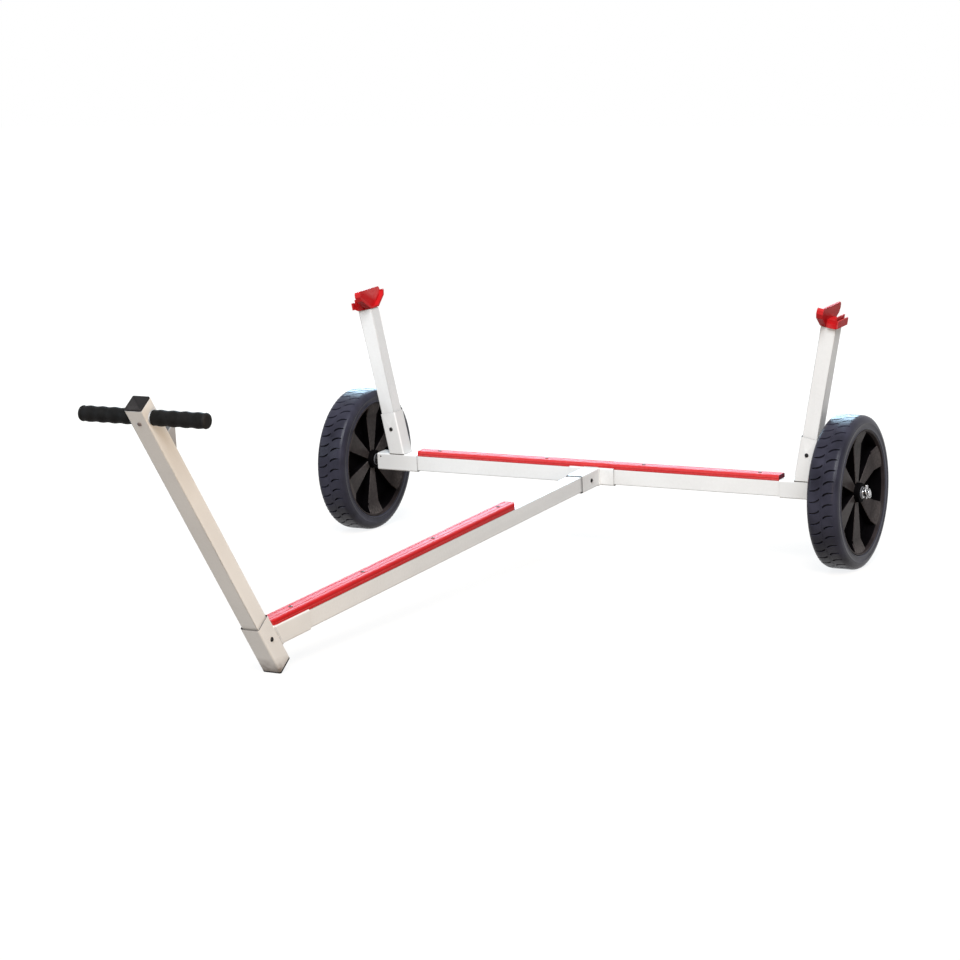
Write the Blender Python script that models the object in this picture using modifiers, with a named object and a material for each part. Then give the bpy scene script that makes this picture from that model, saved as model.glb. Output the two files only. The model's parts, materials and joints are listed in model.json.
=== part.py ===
"""Dinghy launching trolley, built as the separate pieces it comes apart into.

Metres, +Z up. The trolley stands on the floor at Z = 0 with its handle towards -Y and its beam along X, and
the origin is on the floor under the middle of its length.
Most pieces are placed in the frame of the axle beam, called the chassis: its origin is the middle of the
axle, X runs along the beam to the right wheel, -Y along the keel tube to the post. The whole chassis is
turned a few degrees about the axle, so that the foot of the post touches the floor as both wheels do.
Run with: blender --background --python part.py
"""

import math

import bmesh
import bpy
from mathutils import Matrix, Vector

# Square tube and the sleeves that hold it
TUBE = 0.035
TUBE_WALL = 0.002
TUBE_CORNER = 0.003
FIT = 0.0003
SLEEVE_WALL = 0.0023
SLEEVE_BORE = TUBE + 2 * FIT
SLEEVE = SLEEVE_BORE + 2 * SLEEVE_WALL
SLEEVE_CORNER = TUBE_CORNER + SLEEVE_WALL
TUBE_INSIDE = TUBE - 2 * TUBE_WALL
END_GAP = 0.0015
CORNER_STEPS = 2

# Chassis lengths
TRACK = 1.222
AXLE_PLACE = 0.7968
KEEL_LENGTH = 1.392
POST_LEAN = math.radians(33.0)
POST_TOP = 0.598
UPRIGHT_LEAN = math.radians(11.0)
UPRIGHT_TOP = 0.369
UPRIGHT_SOCKET_TOP = 0.120
TEE_HALF_WIDTH = 0.0555
TEE_KEEL_REACH = 0.107
FOOT_KEEL_REACH = 0.134
FOOT_SOCKET_TOP = 0.043
FOOT_SOCKET_BOTTOM = -0.0752
PLUG_LIP = 0.0038
PLUG_DEPTH = 0.014
CAP_LIP = 0.003
CAP_DEPTH = 0.016

# Wheel brackets
BRACKET_LENGTH = 0.1072
BRACKET_END_WALL = 0.018
UPRIGHT_INSET = 0.0504
RIVET_MARGIN = 0.0214
BRACKET_HOLE_RADIUS = 0.0018
BRACKET_HOLE_RISE = 0.0125
BRACKET_HOLE_DEPTH = 0.004

# Wheels
TYRE_RADIUS = 0.168
TYRE_DEPTH = 0.032
TYRE_WIDTH = 0.071
TYRE_SHOULDER = 0.0145
TYRE_SIDE_DROP = 0.001
RIM_LIP = 0.0026
RIM_WALL = 0.0065
RIM_WIDTH = 0.069
RIM_FLARE = 0.010
WEB_THICKNESS = 0.006
SPOKE_COUNT = 6
SPOKE_WIDTH_IN = 0.016
SPOKE_WIDTH_OUT = 0.051
SPOKE_DEPTH = 0.048
HUB_RADIUS = 0.0215
HUB_WIDTH = 0.062
WHEEL_STEPS = 36
TURN_STEPS = 16
SMALL_STEPS = 12
PLAN_STEPS = 4

# Stub axle and what holds the wheel on it
AXLE_RADIUS = 0.008
AXLE_REACH = 0.049
AXLE_COLLAR_RADIUS = 0.0125
AXLE_COLLAR_LENGTH = 0.0127
BUSH_WALL = 0.0024
BUSH_FLANGE_RADIUS = 0.0135
BUSH_FLANGE = 0.0016
BUSH_LENGTH = 0.018
BUSH_FIT = 0.00015
WASHER_RADIUS = 0.0115
WASHER_THICKNESS = 0.002
LINCH_PLACE = 0.0406
LINCH_RADIUS = 0.0023
LINCH_TAIL = 0.013
LINCH_HEAD_RADIUS = 0.0042
LINCH_HEAD_HEIGHT = 0.010
LINCH_HEAD_CROWN = 0.75
LINCH_CHAMFER = 0.0015
RING_WIRE_RADIUS = 0.0012
RING_LOOP_RADIUS = 0.0128
RING_SLANT = math.radians(20.0)

# Snap buttons
BUTTON_RADIUS = 0.0045
BUTTON_PROUD = 0.0025
BUTTON_FLANGE_RADIUS = 0.0062
BUTTON_FLANGE = 0.0015
BUTTON_HOLE = BUTTON_RADIUS + FIT
SPRING_THICKNESS = 0.0009
SPRING_WIDTH = 0.010
SPRING_REACH = 0.044
UPRIGHT_BUTTON_HEIGHT = 0.081
TEE_BUTTON_PLACE = 0.061
POST_BUTTON_HEIGHT = -0.0015

# Guard strips
STRIP_WIDTH = 0.0352
STRIP_CORNER = 0.006
STRIP_GROOVE = 0.0009
KEEL_STRIP_HEIGHT = 0.0145
KEEL_STRIP_LENGTH = 0.971
KEEL_STRIP_NOSE = 0.009
KEEL_STRIP_HEEL = 0.013
KEEL_STRIP_GAP = 0.0008
KEEL_SCREW_MARGIN = 0.049
KEEL_SCREW_HEEL = 0.100
KEEL_SCREW_SHARES = (0.0, 0.344, 0.682, 1.0)
AXLE_STRIP_HEIGHT = 0.0122
AXLE_STRIP_GAP = 0.0012
AXLE_SCREW_MARGIN = 0.0514
AXLE_SCREW_INNER = 0.123
SCREW_RADIUS = 0.002
SCREW_HEAD_RADIUS = 0.0042
SCREW_HEAD_HEIGHT = 0.0016
SCREW_TAIL = 0.004
RIVET_RADIUS = 0.0016
RIVET_HEAD_RADIUS = 0.0034
RIVET_HEAD_HEIGHT = 0.0011
RIVET_BULB_RADIUS = 0.0024
RIVET_BULB_START = 0.0015
RIVET_BULB_END = 0.004
HEAD_CROWN = 0.7

# Handle
HANDLE_DROP = 0.033
HANDLE_RADIUS = 0.011
HANDLE_WALL = 0.002
HANDLE_HALF_LENGTH = 0.1265
GRIP_START = 0.0192
GRIP_END = 0.131
GRIP_RADIUS = 0.0139
GRIP_WAVE = 0.0006
GRIP_WAVES = 4
GRIP_ROUNDING = 0.0045

# Bow bracket
BOW_BRACKET_DROP = 0.130
BOW_BRACKET_RISE = 0.052
BOW_BRACKET_WIDTH = 0.028
BOW_BRACKET_SHEET = 0.0025

# Gunwale supports, in the frame of the upright: outboard and up from its top
SUPPORT_PLUG = 0.030
PLUG_ROOT = 0.004
SUPPORT_DEPTH = 0.038
SEAT_RISE = 0.0185
SEAT_GROOVE = 0.0006
CHEEK_OUTER = -0.0045
CHEEK_THICKNESS = 0.0045
CHEEK_BLOCK = 0.015
CHEEK_WALL = 0.0042
CHEEK_REAR_WALL_RISE = 0.037
CHEEK_OUTLINE = ((0.017, 0.0003), (0.050, 0.023), (0.054, 0.033), (0.053, 0.041), (0.0495, 0.0452))
INNER_FIN_PLACE = 0.0155
INNER_FIN_THICKNESS = 0.0032
INNER_FIN_RISE = 0.0275
INNER_FIN_LENGTH = 0.047
FIN_ROOT = 0.0045
OUTER_LIP_PLACE = 0.0215
OUTER_LIP_THICKNESS = 0.0034
OUTER_LIP_BOTTOM = 0.0045
OUTER_LIP_RISE = 0.021
OUTER_LIP_LENGTH = 0.060
OUTER_FLOOR_RISE = 0.0105

# Joined bodies sink this far into each other
SINK = 0.0005

# Cutting bodies: how far they run past the piece, and how deep a drill goes through one wall
PAST = 0.010
DRILL_DEPTH = 0.014
WIDE = 0.1

# Worked out from the sizes above
HANDLE_HEIGHT = POST_TOP - HANDLE_DROP
BOW_BRACKET_FOOT = POST_TOP - BOW_BRACKET_DROP
WHEEL_X = TRACK / 2
BRACKET_END = WHEEL_X - HUB_WIDTH / 2 - BUSH_FLANGE - AXLE_COLLAR_LENGTH - 3 * FIT
BRACKET_MOUTH = BRACKET_END - BRACKET_LENGTH
UPRIGHT_SPREAD = BRACKET_MOUTH + UPRIGHT_INSET
RIM_RADIUS = TYRE_RADIUS - TYRE_DEPTH
KEEL_STRIP_END = KEEL_LENGTH - KEEL_STRIP_LENGTH
KEEL_SCREW_FIRST = KEEL_STRIP_END + KEEL_SCREW_MARGIN
KEEL_SCREW_RUN = KEEL_LENGTH - KEEL_SCREW_HEEL - KEEL_SCREW_FIRST
KEEL_SCREW_PLACES = [KEEL_SCREW_FIRST + share * KEEL_SCREW_RUN for share in KEEL_SCREW_SHARES]
AXLE_SCREW_OUTER = BRACKET_MOUTH - AXLE_STRIP_GAP - AXLE_SCREW_MARGIN
AXLE_SCREW_PLACES = (-AXLE_SCREW_OUTER, -AXLE_SCREW_INNER, AXLE_SCREW_INNER, AXLE_SCREW_OUTER)
FOOT_EDGE_Y = -KEEL_LENGTH - FOOT_SOCKET_BOTTOM * math.sin(POST_LEAN) - SLEEVE / 2 * math.cos(POST_LEAN)
FOOT_EDGE_Z = FOOT_SOCKET_BOTTOM * math.cos(POST_LEAN) - SLEEVE / 2 * math.sin(POST_LEAN)
FOOT_EDGE_REACH = math.hypot(FOOT_EDGE_Y, FOOT_EDGE_Z)
CHASSIS_TILT = math.asin(TYRE_RADIUS / FOOT_EDGE_REACH) - math.atan2(-FOOT_EDGE_Z, -FOOT_EDGE_Y)

LEFT, RIGHT = -1, 1
SIDES = (("left", LEFT), ("right", RIGHT))
ALONG_X = Matrix.Rotation(math.radians(90), 4, "Y")
ALONG_Y = Matrix.Rotation(math.radians(90), 4, "X")
OUTLINE_YZ = Matrix(((0, 0, 1, 0), (1, 0, 0, 0), (0, 1, 0, 0), (0, 0, 0, 1)))
CHASSIS = Matrix.Translation((0, AXLE_PLACE, TYRE_RADIUS)) @ Matrix.Rotation(CHASSIS_TILT, 4, "X")
POST = Matrix.Translation((0, -KEEL_LENGTH, 0)) @ Matrix.Rotation(POST_LEAN, 4, "X")


def upright_frame(side):
    """Frame of an upright: Z runs up its axis from the height of the axle."""
    return Matrix.Translation((side * UPRIGHT_SPREAD, 0, 0)) @ Matrix.Rotation(side * UPRIGHT_LEAN, 4, "Y")


def clear_scene():
    for leftover in list(bpy.data.objects):
        bpy.data.objects.remove(leftover)
    for mesh in list(bpy.data.meshes):
        bpy.data.meshes.remove(mesh)


def new_collection(name):
    collection = bpy.data.collections.new(name)
    bpy.context.scene.collection.children.link(collection)
    return collection


def material(name, colour, roughness, metallic=0.0):
    made = bpy.data.materials.new(name)
    made.use_nodes = True
    shader = made.node_tree.nodes["Principled BSDF"]
    shader.inputs["Base Color"].default_value = (*colour, 1.0)
    shader.inputs["Roughness"].default_value = roughness
    shader.inputs["Metallic"].default_value = metallic
    made.diffuse_color = (*colour, 1.0)
    return made


def empty(name, parent, placement):
    holder = bpy.data.objects.new(name, None)
    parts.objects.link(holder)
    holder.parent = parent
    holder.matrix_local = placement
    return holder


def place(name, data, placement, finish=None, parent=None):
    """Link a piece into the parts, or a cutting body into the cutters when it has no finish."""
    piece = bpy.data.objects.new(name, data)
    piece.parent = parent or chassis
    piece.matrix_local = placement
    if finish:
        data.materials.append(finish)
        parts.objects.link(piece)
    else:
        cutters.objects.link(piece)
        piece.hide_render = True
        piece.display_type = "WIRE"
    return piece


def rounded_rectangle(width, height, radius, steps=CORNER_STEPS):
    """Outline of a rectangle with round corners, anticlockwise."""
    outline = []
    for across, up, start in ((1, 1, 0), (-1, 1, 90), (-1, -1, 180), (1, -1, 270)):
        for step in range(steps + 1):
            turn = math.radians(start + 90 * step / steps)
            x = across * (width / 2 - radius) + radius * math.cos(turn)
            y = up * (height / 2 - radius) + radius * math.sin(turn)
            outline.append((x, y))
    return outline


def circle(radius, steps=TURN_STEPS):
    turns = [2 * math.pi * step / steps for step in range(steps)]
    return [(radius * math.cos(turn), radius * math.sin(turn)) for turn in turns]


def strip_outline(path, thickness):
    """Outline of a bent strip that follows a path of (x, y) points."""
    points = [Vector(point) for point in path]
    sides = ([], [])
    for index, point in enumerate(points):
        before = points[max(index - 1, 0)]
        after = points[min(index + 1, len(points) - 1)]
        run_in = (point - before).normalized() if index else (after - point).normalized()
        run_out = (after - point).normalized() if index < len(points) - 1 else run_in
        middle = (run_in + run_out).normalized()
        normal = Vector((-middle.y, middle.x))
        reach = thickness / 2 / max(0.35, middle.dot(run_in))
        sides[0].append(point + normal * reach)
        sides[1].append(point - normal * reach)
    return [tuple(point) for point in sides[0] + sides[1][::-1]]


def prism(name, outlines, depth):
    """Mesh of flat outlines filled and extruded by half the depth each way along Z."""
    curve = bpy.data.curves.new(name, "CURVE")
    curve.dimensions = "2D"
    curve.fill_mode = "BOTH"
    curve.extrude = depth / 2
    for outline in outlines:
        spline = curve.splines.new("POLY")
        spline.points.add(len(outline) - 1)
        for point, (x, y) in zip(spline.points, outline):
            point.co = (x, y, 0, 1)
        spline.use_cyclic_u = True
    carrier = bpy.data.objects.new(name, curve)
    bpy.context.scene.collection.objects.link(carrier)
    depsgraph = bpy.context.evaluated_depsgraph_get()
    mesh = bpy.data.meshes.new_from_object(carrier.evaluated_get(depsgraph))
    bpy.data.objects.remove(carrier)
    bpy.data.curves.remove(curve)
    shape = bmesh.new()
    shape.from_mesh(mesh)
    bmesh.ops.remove_doubles(shape, verts=shape.verts, dist=1e-6)
    bmesh.ops.recalc_face_normals(shape, faces=shape.faces)
    shape.to_mesh(mesh)
    shape.free()
    mesh.name = name
    return mesh


def square_bar(name, side, corner, length):
    return prism(name, [rounded_rectangle(side, side, corner)], length)


def square_tube(name, length):
    inside = TUBE_CORNER - TUBE_WALL
    outlines = [rounded_rectangle(TUBE, TUBE, TUBE_CORNER), rounded_rectangle(TUBE_INSIDE, TUBE_INSIDE, inside)]
    return prism(name, outlines, length)


def cylinder(name, radius, length, steps=SMALL_STEPS):
    mesh = bpy.data.meshes.new(name)
    shape = bmesh.new()
    bmesh.ops.create_cone(shape, cap_ends=True, segments=steps, radius1=radius, radius2=radius, depth=length)
    shape.to_mesh(mesh)
    shape.free()
    return mesh


def box(name, size, centre=(0, 0, 0)):
    mesh = bpy.data.meshes.new(name)
    shape = bmesh.new()
    bmesh.ops.create_cube(shape, size=1.0)
    bmesh.ops.scale(shape, verts=shape.verts, vec=size)
    bmesh.ops.translate(shape, verts=shape.verts, vec=centre)
    shape.to_mesh(mesh)
    shape.free()
    return mesh


def profile_mesh(name, profile, closed):
    """Edges of a profile of (radius, height) points, for a Screw modifier about Z."""
    mesh = bpy.data.meshes.new(name)
    shape = bmesh.new()
    verts = [shape.verts.new((radius, 0, height)) for radius, height in profile]
    for start, end in zip(verts, verts[1:]):
        shape.edges.new((start, end))
    if closed:
        shape.edges.new((verts[-1], verts[0]))
    shape.to_mesh(mesh)
    shape.free()
    return mesh


def turned(name, profile, placement, finish=None, parent=None, closed=False, steps=TURN_STEPS):
    """A turned piece about its own Z, its profile running down the outer side."""
    piece = place(name, profile_mesh(name, profile, closed), placement, finish, parent)
    screw = piece.modifiers.new("Turn", "SCREW")
    screw.axis = "Z"
    screw.steps = steps
    screw.render_steps = steps
    screw.use_merge_vertices = True
    screw.merge_threshold = 1e-6
    return piece


def combine(piece, other, operation):
    modifier = piece.modifiers.new(other.name, "BOOLEAN")
    modifier.operation = operation
    modifier.solver = "EXACT"
    modifier.object = other


def cut(piece, name, mesh, placement, parent=None):
    combine(piece, place(name, mesh, placement, parent=parent), "DIFFERENCE")


def add(piece, name, mesh, placement, parent=None):
    combine(piece, place(name, mesh, placement, parent=parent), "UNION")


def at(x=0.0, y=0.0, z=0.0):
    return Matrix.Translation((x, y, z))


def rear_face_y(height, stand_off=0.0):
    """Chassis Y where the rear face of the post socket is, at a height above the keel axis."""
    across = SLEEVE / 2 + stand_off
    along = (height - across * math.sin(POST_LEAN)) / math.cos(POST_LEAN)
    return -KEEL_LENGTH - along * math.sin(POST_LEAN) + across * math.cos(POST_LEAN)


def make_axle_beam():
    length = 2 * (BRACKET_END - BRACKET_END_WALL - END_GAP)
    beam = place("axle_beam", square_tube("axle_beam", length), ALONG_X, aluminium)
    for index, x in enumerate(AXLE_SCREW_PLACES):
        drill(beam, f"beam_screw_hole_{index + 1}", SCREW_RADIUS + FIT, at(x, 0, TUBE / 2))
    for name, x in (("left", -rivet_place()), ("middle", 0.0), ("right", rivet_place())):
        drill(beam, f"beam_rivet_hole_{name}", RIVET_RADIUS + FIT, at(x, 0, -TUBE / 2))


def rivet_place():
    """Distance along the beam of the rivet under each wheel bracket."""
    return BRACKET_MOUTH + RIVET_MARGIN


def drill(piece, name, radius, placement, depth=DRILL_DEPTH):
    cut(piece, name, cylinder(name, radius, depth), placement)


def make_keel_tube():
    rear = -SLEEVE / 2 - END_GAP
    front = rear_face_y(-SLEEVE_BORE / 2) + END_GAP + SLEEVE_WALL
    middle = at(0, (rear + front) / 2, 0) @ ALONG_Y
    keel = place("keel_tube", square_tube("keel_tube", rear - front), middle, aluminium)
    for index, y in enumerate(KEEL_SCREW_PLACES):
        drill(keel, f"keel_screw_hole_{index + 1}", SCREW_RADIUS + FIT, at(0, -y, TUBE / 2))
    drill(keel, "keel_button_hole", BUTTON_HOLE, at(TUBE / 2, -TEE_BUTTON_PLACE, 0) @ ALONG_X)
    drill(keel, "keel_rivet_hole", RIVET_RADIUS + FIT, at(0, -foot_rivet_place(), -TUBE / 2))


def foot_rivet_place():
    return KEEL_LENGTH - FOOT_KEEL_REACH + RIVET_MARGIN


def make_tee_fitting():
    tee = place("tee_fitting", square_bar("tee_cross_sleeve", SLEEVE, SLEEVE_CORNER, 2 * TEE_HALF_WIDTH),
                ALONG_X, aluminium)
    arm_middle = at(0, -TEE_KEEL_REACH / 2, 0) @ ALONG_Y
    add(tee, "tee_arm", square_bar("tee_arm", SLEEVE, SLEEVE_CORNER, TEE_KEEL_REACH), arm_middle)
    bore_corner = SLEEVE_CORNER - SLEEVE_WALL
    cross_bore = square_bar("tee_cross_bore", SLEEVE_BORE, bore_corner, 2 * TEE_HALF_WIDTH + PAST)
    cut(tee, "tee_cross_bore", cross_bore, ALONG_X)
    arm_bore = square_bar("tee_arm_bore", SLEEVE_BORE, bore_corner, TEE_KEEL_REACH)
    cut(tee, "tee_arm_bore", arm_bore, at(0, -SLEEVE / 2 - TEE_KEEL_REACH / 2, 0) @ ALONG_Y)
    drill(tee, "tee_button_hole", BUTTON_HOLE, at(SLEEVE / 2, -TEE_BUTTON_PLACE, 0) @ ALONG_X, PAST)
    drill(tee, "tee_rivet_hole", RIVET_RADIUS + FIT, at(0, 0, -SLEEVE / 2), PAST)


def make_foot_fitting():
    socket_bottom = FOOT_SOCKET_BOTTOM + PLUG_LIP + FIT
    socket_length = FOOT_SOCKET_TOP - socket_bottom
    socket_middle = POST @ at(0, 0, (FOOT_SOCKET_TOP + socket_bottom) / 2)
    foot = place("foot_fitting", square_bar("foot_post_sleeve", SLEEVE, SLEEVE_CORNER, socket_length),
                 socket_middle, aluminium)
    mouth = -KEEL_LENGTH + FOOT_KEEL_REACH
    arm_end = -KEEL_LENGTH
    arm = square_bar("foot_arm", SLEEVE, SLEEVE_CORNER, mouth - arm_end)
    add(foot, "foot_arm", arm, at(0, (mouth + arm_end) / 2, 0) @ ALONG_Y)
    bore_corner = SLEEVE_CORNER - SLEEVE_WALL
    cut(foot, "foot_post_bore", square_bar("foot_post_bore", SLEEVE_BORE, bore_corner, 2 * socket_length),
        socket_middle)
    bore_end = rear_face_y(-SLEEVE_BORE / 2) + SLEEVE_WALL
    bore_length = mouth - bore_end + PAST
    arm_bore = square_bar("foot_arm_bore", SLEEVE_BORE, bore_corner, bore_length)
    cut(foot, "foot_arm_bore", arm_bore, at(0, bore_end + bore_length / 2, 0) @ ALONG_Y)
    drill(foot, "foot_button_hole", BUTTON_HOLE, POST @ at(SLEEVE / 2, 0, POST_BUTTON_HEIGHT) @ ALONG_X, PAST)
    drill(foot, "foot_rivet_hole", RIVET_RADIUS + FIT, at(0, -foot_rivet_place(), -SLEEVE / 2), PAST)
    drill(foot, "foot_screw_hole", SCREW_RADIUS + FIT, at(0, -KEEL_SCREW_PLACES[-1], SLEEVE / 2), PAST)


def make_foot_plug():
    lip_middle = POST @ at(0, 0, FOOT_SOCKET_BOTTOM + PLUG_LIP / 2)
    lip = place("foot_plug", square_bar("foot_plug", SLEEVE, SLEEVE_CORNER, PLUG_LIP), lip_middle, black_plastic)
    tongue = SLEEVE_BORE - 2 * FIT
    tongue_length = PLUG_DEPTH + PLUG_LIP / 2
    add(lip, "foot_plug_tongue", square_bar("foot_plug_tongue", tongue, TUBE_CORNER, tongue_length),
        lip_middle @ at(0, 0, tongue_length / 2))


def make_post():
    bottom = FOOT_SOCKET_BOTTOM + PLUG_LIP + PLUG_DEPTH + END_GAP
    top = POST_TOP - CAP_LIP - FIT
    post = place("post_tube", square_tube("post_tube", top - bottom), POST @ at(0, 0, (top + bottom) / 2), aluminium)
    bar_hole = cylinder("post_bar_hole", HANDLE_RADIUS + FIT, 2 * TUBE, TURN_STEPS)
    cut(post, "post_bar_hole", bar_hole, POST @ at(0, 0, HANDLE_HEIGHT) @ ALONG_X)
    drill(post, "post_screw_hole", SCREW_RADIUS + FIT, POST @ at(0, -TUBE / 2, HANDLE_HEIGHT) @ ALONG_Y, PAST)
    drill(post, "post_button_hole", BUTTON_HOLE, POST @ at(TUBE / 2, 0, POST_BUTTON_HEIGHT) @ ALONG_X)
    cap_middle = POST @ at(0, 0, POST_TOP - CAP_LIP / 2)
    cap = place("post_cap", square_bar("post_cap", TUBE, TUBE_CORNER, CAP_LIP), cap_middle, black_plastic)
    soften(cap, 0.0008)
    tongue = TUBE_INSIDE - 2 * FIT
    tongue_length = CAP_DEPTH + CAP_LIP / 2
    tongue_corner = TUBE_CORNER - TUBE_WALL
    add(cap, "post_cap_tongue", square_bar("post_cap_tongue", tongue, tongue_corner, tongue_length),
        cap_middle @ at(0, 0, -tongue_length / 2))


def soften(piece, width, segments=1):
    bevel = piece.modifiers.new("Soften", "BEVEL")
    bevel.width = width
    bevel.segments = segments
    bevel.limit_method = "ANGLE"
    bevel.angle_limit = math.radians(50)


def make_handle():
    axis = POST @ at(0, 0, HANDLE_HEIGHT) @ ALONG_X
    inner = HANDLE_RADIUS - HANDLE_WALL
    half = HANDLE_HALF_LENGTH
    profile = [(HANDLE_RADIUS, half), (HANDLE_RADIUS, -half), (inner, -half), (inner, half)]
    bar = turned("handle_bar", profile, axis, aluminium, closed=True)
    drill(bar, "bar_screw_hole", SCREW_RADIUS + FIT, POST @ at(0, -HANDLE_RADIUS, HANDLE_HEIGHT) @ ALONG_Y, 0.008)
    for name, side in SIDES:
        turned(f"{name}_grip", grip_profile(), axis if side > 0 else axis @ Matrix.Rotation(math.pi, 4, "X"),
               black_rubber, closed=True)
    screw("handle_screw", POST @ at(0, -TUBE / 2 - FIT, HANDLE_HEIGHT) @ ALONG_Y,
          (TUBE / 2 - HANDLE_RADIUS) + HANDLE_WALL + SCREW_TAIL)


def grip_profile():
    """Profile of a hand grip that is closed at its far end, waves along its length and starts at the post."""
    inner = HANDLE_RADIUS + FIT
    profile = [(0.0004, GRIP_END), (GRIP_RADIUS * 0.66, GRIP_END - 0.0004)]
    profile += [(GRIP_RADIUS * 0.9, GRIP_END - GRIP_ROUNDING * 0.4), (GRIP_RADIUS, GRIP_END - GRIP_ROUNDING)]
    run = GRIP_END - 2 * GRIP_ROUNDING - GRIP_START
    for step in range(2 * GRIP_WAVES + 1):
        dip = GRIP_WAVE if step % 2 else -GRIP_WAVE
        height = GRIP_END - GRIP_ROUNDING - 0.004 - (run - 0.006) * step / (2 * GRIP_WAVES)
        profile.append((GRIP_RADIUS - dip, height))
    profile += [(GRIP_RADIUS * 0.93, GRIP_START + 0.0012), (GRIP_RADIUS * 0.85, GRIP_START)]
    profile += [(inner, GRIP_START), (inner, HANDLE_HALF_LENGTH + FIT), (0.0004, HANDLE_HALF_LENGTH + FIT)]
    return profile


def screw(name, placement, shank):
    """A domed screw: its head stands on the local XY plane and its shank runs down local Z."""
    head = SCREW_HEAD_RADIUS
    profile = [(0, SCREW_HEAD_HEIGHT), (head * 0.6, SCREW_HEAD_HEIGHT * 0.85), (head, SCREW_HEAD_HEIGHT * 0.3)]
    profile += [(head, 0), (SCREW_RADIUS, 0), (SCREW_RADIUS, -shank), (0, -shank)]
    turned(name, profile, placement, stainless, steps=SMALL_STEPS)


def rivet(name, placement):
    """A blind rivet under a sleeve: a domed head, a shank through both walls and a bulb inside the tube."""
    grip = SLEEVE_WALL + FIT + TUBE_WALL + FIT
    bulb = RIVET_BULB_RADIUS
    bulb_end = -grip - RIVET_BULB_END
    profile = [(0, RIVET_HEAD_HEIGHT), (RIVET_HEAD_RADIUS * HEAD_CROWN, RIVET_HEAD_HEIGHT * HEAD_CROWN)]
    profile += [(RIVET_HEAD_RADIUS, 0), (RIVET_RADIUS, 0), (RIVET_RADIUS, -grip - FIT)]
    profile += [(bulb, -grip - RIVET_BULB_START), (bulb * HEAD_CROWN, bulb_end), (0, bulb_end)]
    turned(name, profile, placement, aluminium, steps=SMALL_STEPS)


def make_rivets():
    under = -SLEEVE / 2 - FIT
    turned_down = Matrix.Rotation(math.pi, 4, "X")
    for name, side in SIDES:
        rivet(f"{name}_bracket_rivet", at(side * rivet_place(), 0, under) @ turned_down)
    rivet("tee_rivet", at(0, 0, under) @ turned_down)
    rivet("foot_rivet", at(0, -foot_rivet_place(), under) @ turned_down)


def make_bow_bracket():
    """A folded sheet wedge behind the post: its rear plate stands parallel to the chassis Z axis."""
    foot = (TUBE / 2 + FIT, BOW_BRACKET_FOOT)
    top = (foot[0] + BOW_BRACKET_RISE * math.sin(POST_LEAN), foot[1] + BOW_BRACKET_RISE * math.cos(POST_LEAN))
    wedge = [foot, top, (foot[0], top[1])]
    sheet = BOW_BRACKET_SHEET
    slope = sheet / math.sin(POST_LEAN)
    inner = [(foot[0] - sheet, foot[1] + slope - sheet / math.tan(POST_LEAN)), (top[0], top[1] + slope),
             (foot[0] - sheet, top[1] + slope)]
    placement = POST @ OUTLINE_YZ
    bracket = place("bow_bracket", prism("bow_bracket", [wedge], BOW_BRACKET_WIDTH), placement, grey_metal)
    hollow = prism("bow_bracket_hollow", [inner], BOW_BRACKET_WIDTH - 2 * sheet)
    cut(bracket, "bow_bracket_hollow", hollow, placement)


def strip_section(height):
    """Section of a guard strip: flat sides with a groove, rounded shoulders and two shallow grooves on top."""
    half = STRIP_WIDTH / 2
    groove = STRIP_GROOVE
    waist = height * 0.42
    right = [(half, 0), (half, waist - groove), (half - groove, waist), (half - 0.2 * groove, waist + groove)]
    for step in range(CORNER_STEPS + 1):
        turn = math.radians(15 + 75 * step / CORNER_STEPS)
        right.append((half - STRIP_CORNER + STRIP_CORNER * math.cos(turn),
                      height - STRIP_CORNER + STRIP_CORNER * math.sin(turn)))
    right += [(half * 0.45, height), (half * 0.38, height - groove * 0.7), (half * 0.31, height)]
    return right + [(-x, y) for x, y in reversed(right)]


def make_keel_strip():
    base = TUBE / 2 + FIT
    start = -KEEL_LENGTH
    length = KEEL_LENGTH - KEEL_STRIP_END
    section = prism("keel_strip", [strip_section(KEEL_STRIP_HEIGHT)], length)
    middle = at(0, start + length / 2, base) @ ALONG_Y
    strip = place("keel_strip", section, middle, red_plastic)
    reach = 2 * length
    plan = rounded_rectangle(STRIP_WIDTH + FIT / 3, reach, KEEL_STRIP_NOSE, PLAN_STEPS)
    nose = place("keel_strip_nose", prism("keel_strip_nose", [plan], WIDE), at(0, -KEEL_STRIP_END - reach / 2, base))
    combine(strip, nose, "INTERSECT")
    plan = rounded_rectangle(STRIP_WIDTH + FIT * 2 / 3, reach, KEEL_STRIP_HEEL, PLAN_STEPS)
    heel_middle = POST @ at(0, SLEEVE / 2 + KEEL_STRIP_GAP + reach / 2, 0)
    heel = place("keel_strip_heel", prism("keel_strip_heel", [plan], 3 * length), heel_middle)
    combine(strip, heel, "INTERSECT")
    relief_top = SLEEVE / 2 + FIT
    relief_end = -KEEL_LENGTH + FOOT_KEEL_REACH + FIT
    relief = box("keel_strip_relief", (WIDE, 3 * WIDE, WIDE), (0, relief_end - 1.5 * WIDE, relief_top - WIDE / 2))
    cut(strip, "keel_strip_relief", relief, Matrix.Identity(4))
    for index, y in enumerate(KEEL_SCREW_PLACES):
        drill(strip, f"keel_strip_hole_{index + 1}", SCREW_RADIUS + FIT, at(0, -y, base + PAST), WIDE / 2)
        screw(f"keel_strip_screw_{index + 1}", at(0, -y, base + KEEL_STRIP_HEIGHT + FIT),
              KEEL_STRIP_HEIGHT + TUBE_WALL + SCREW_TAIL)


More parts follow.
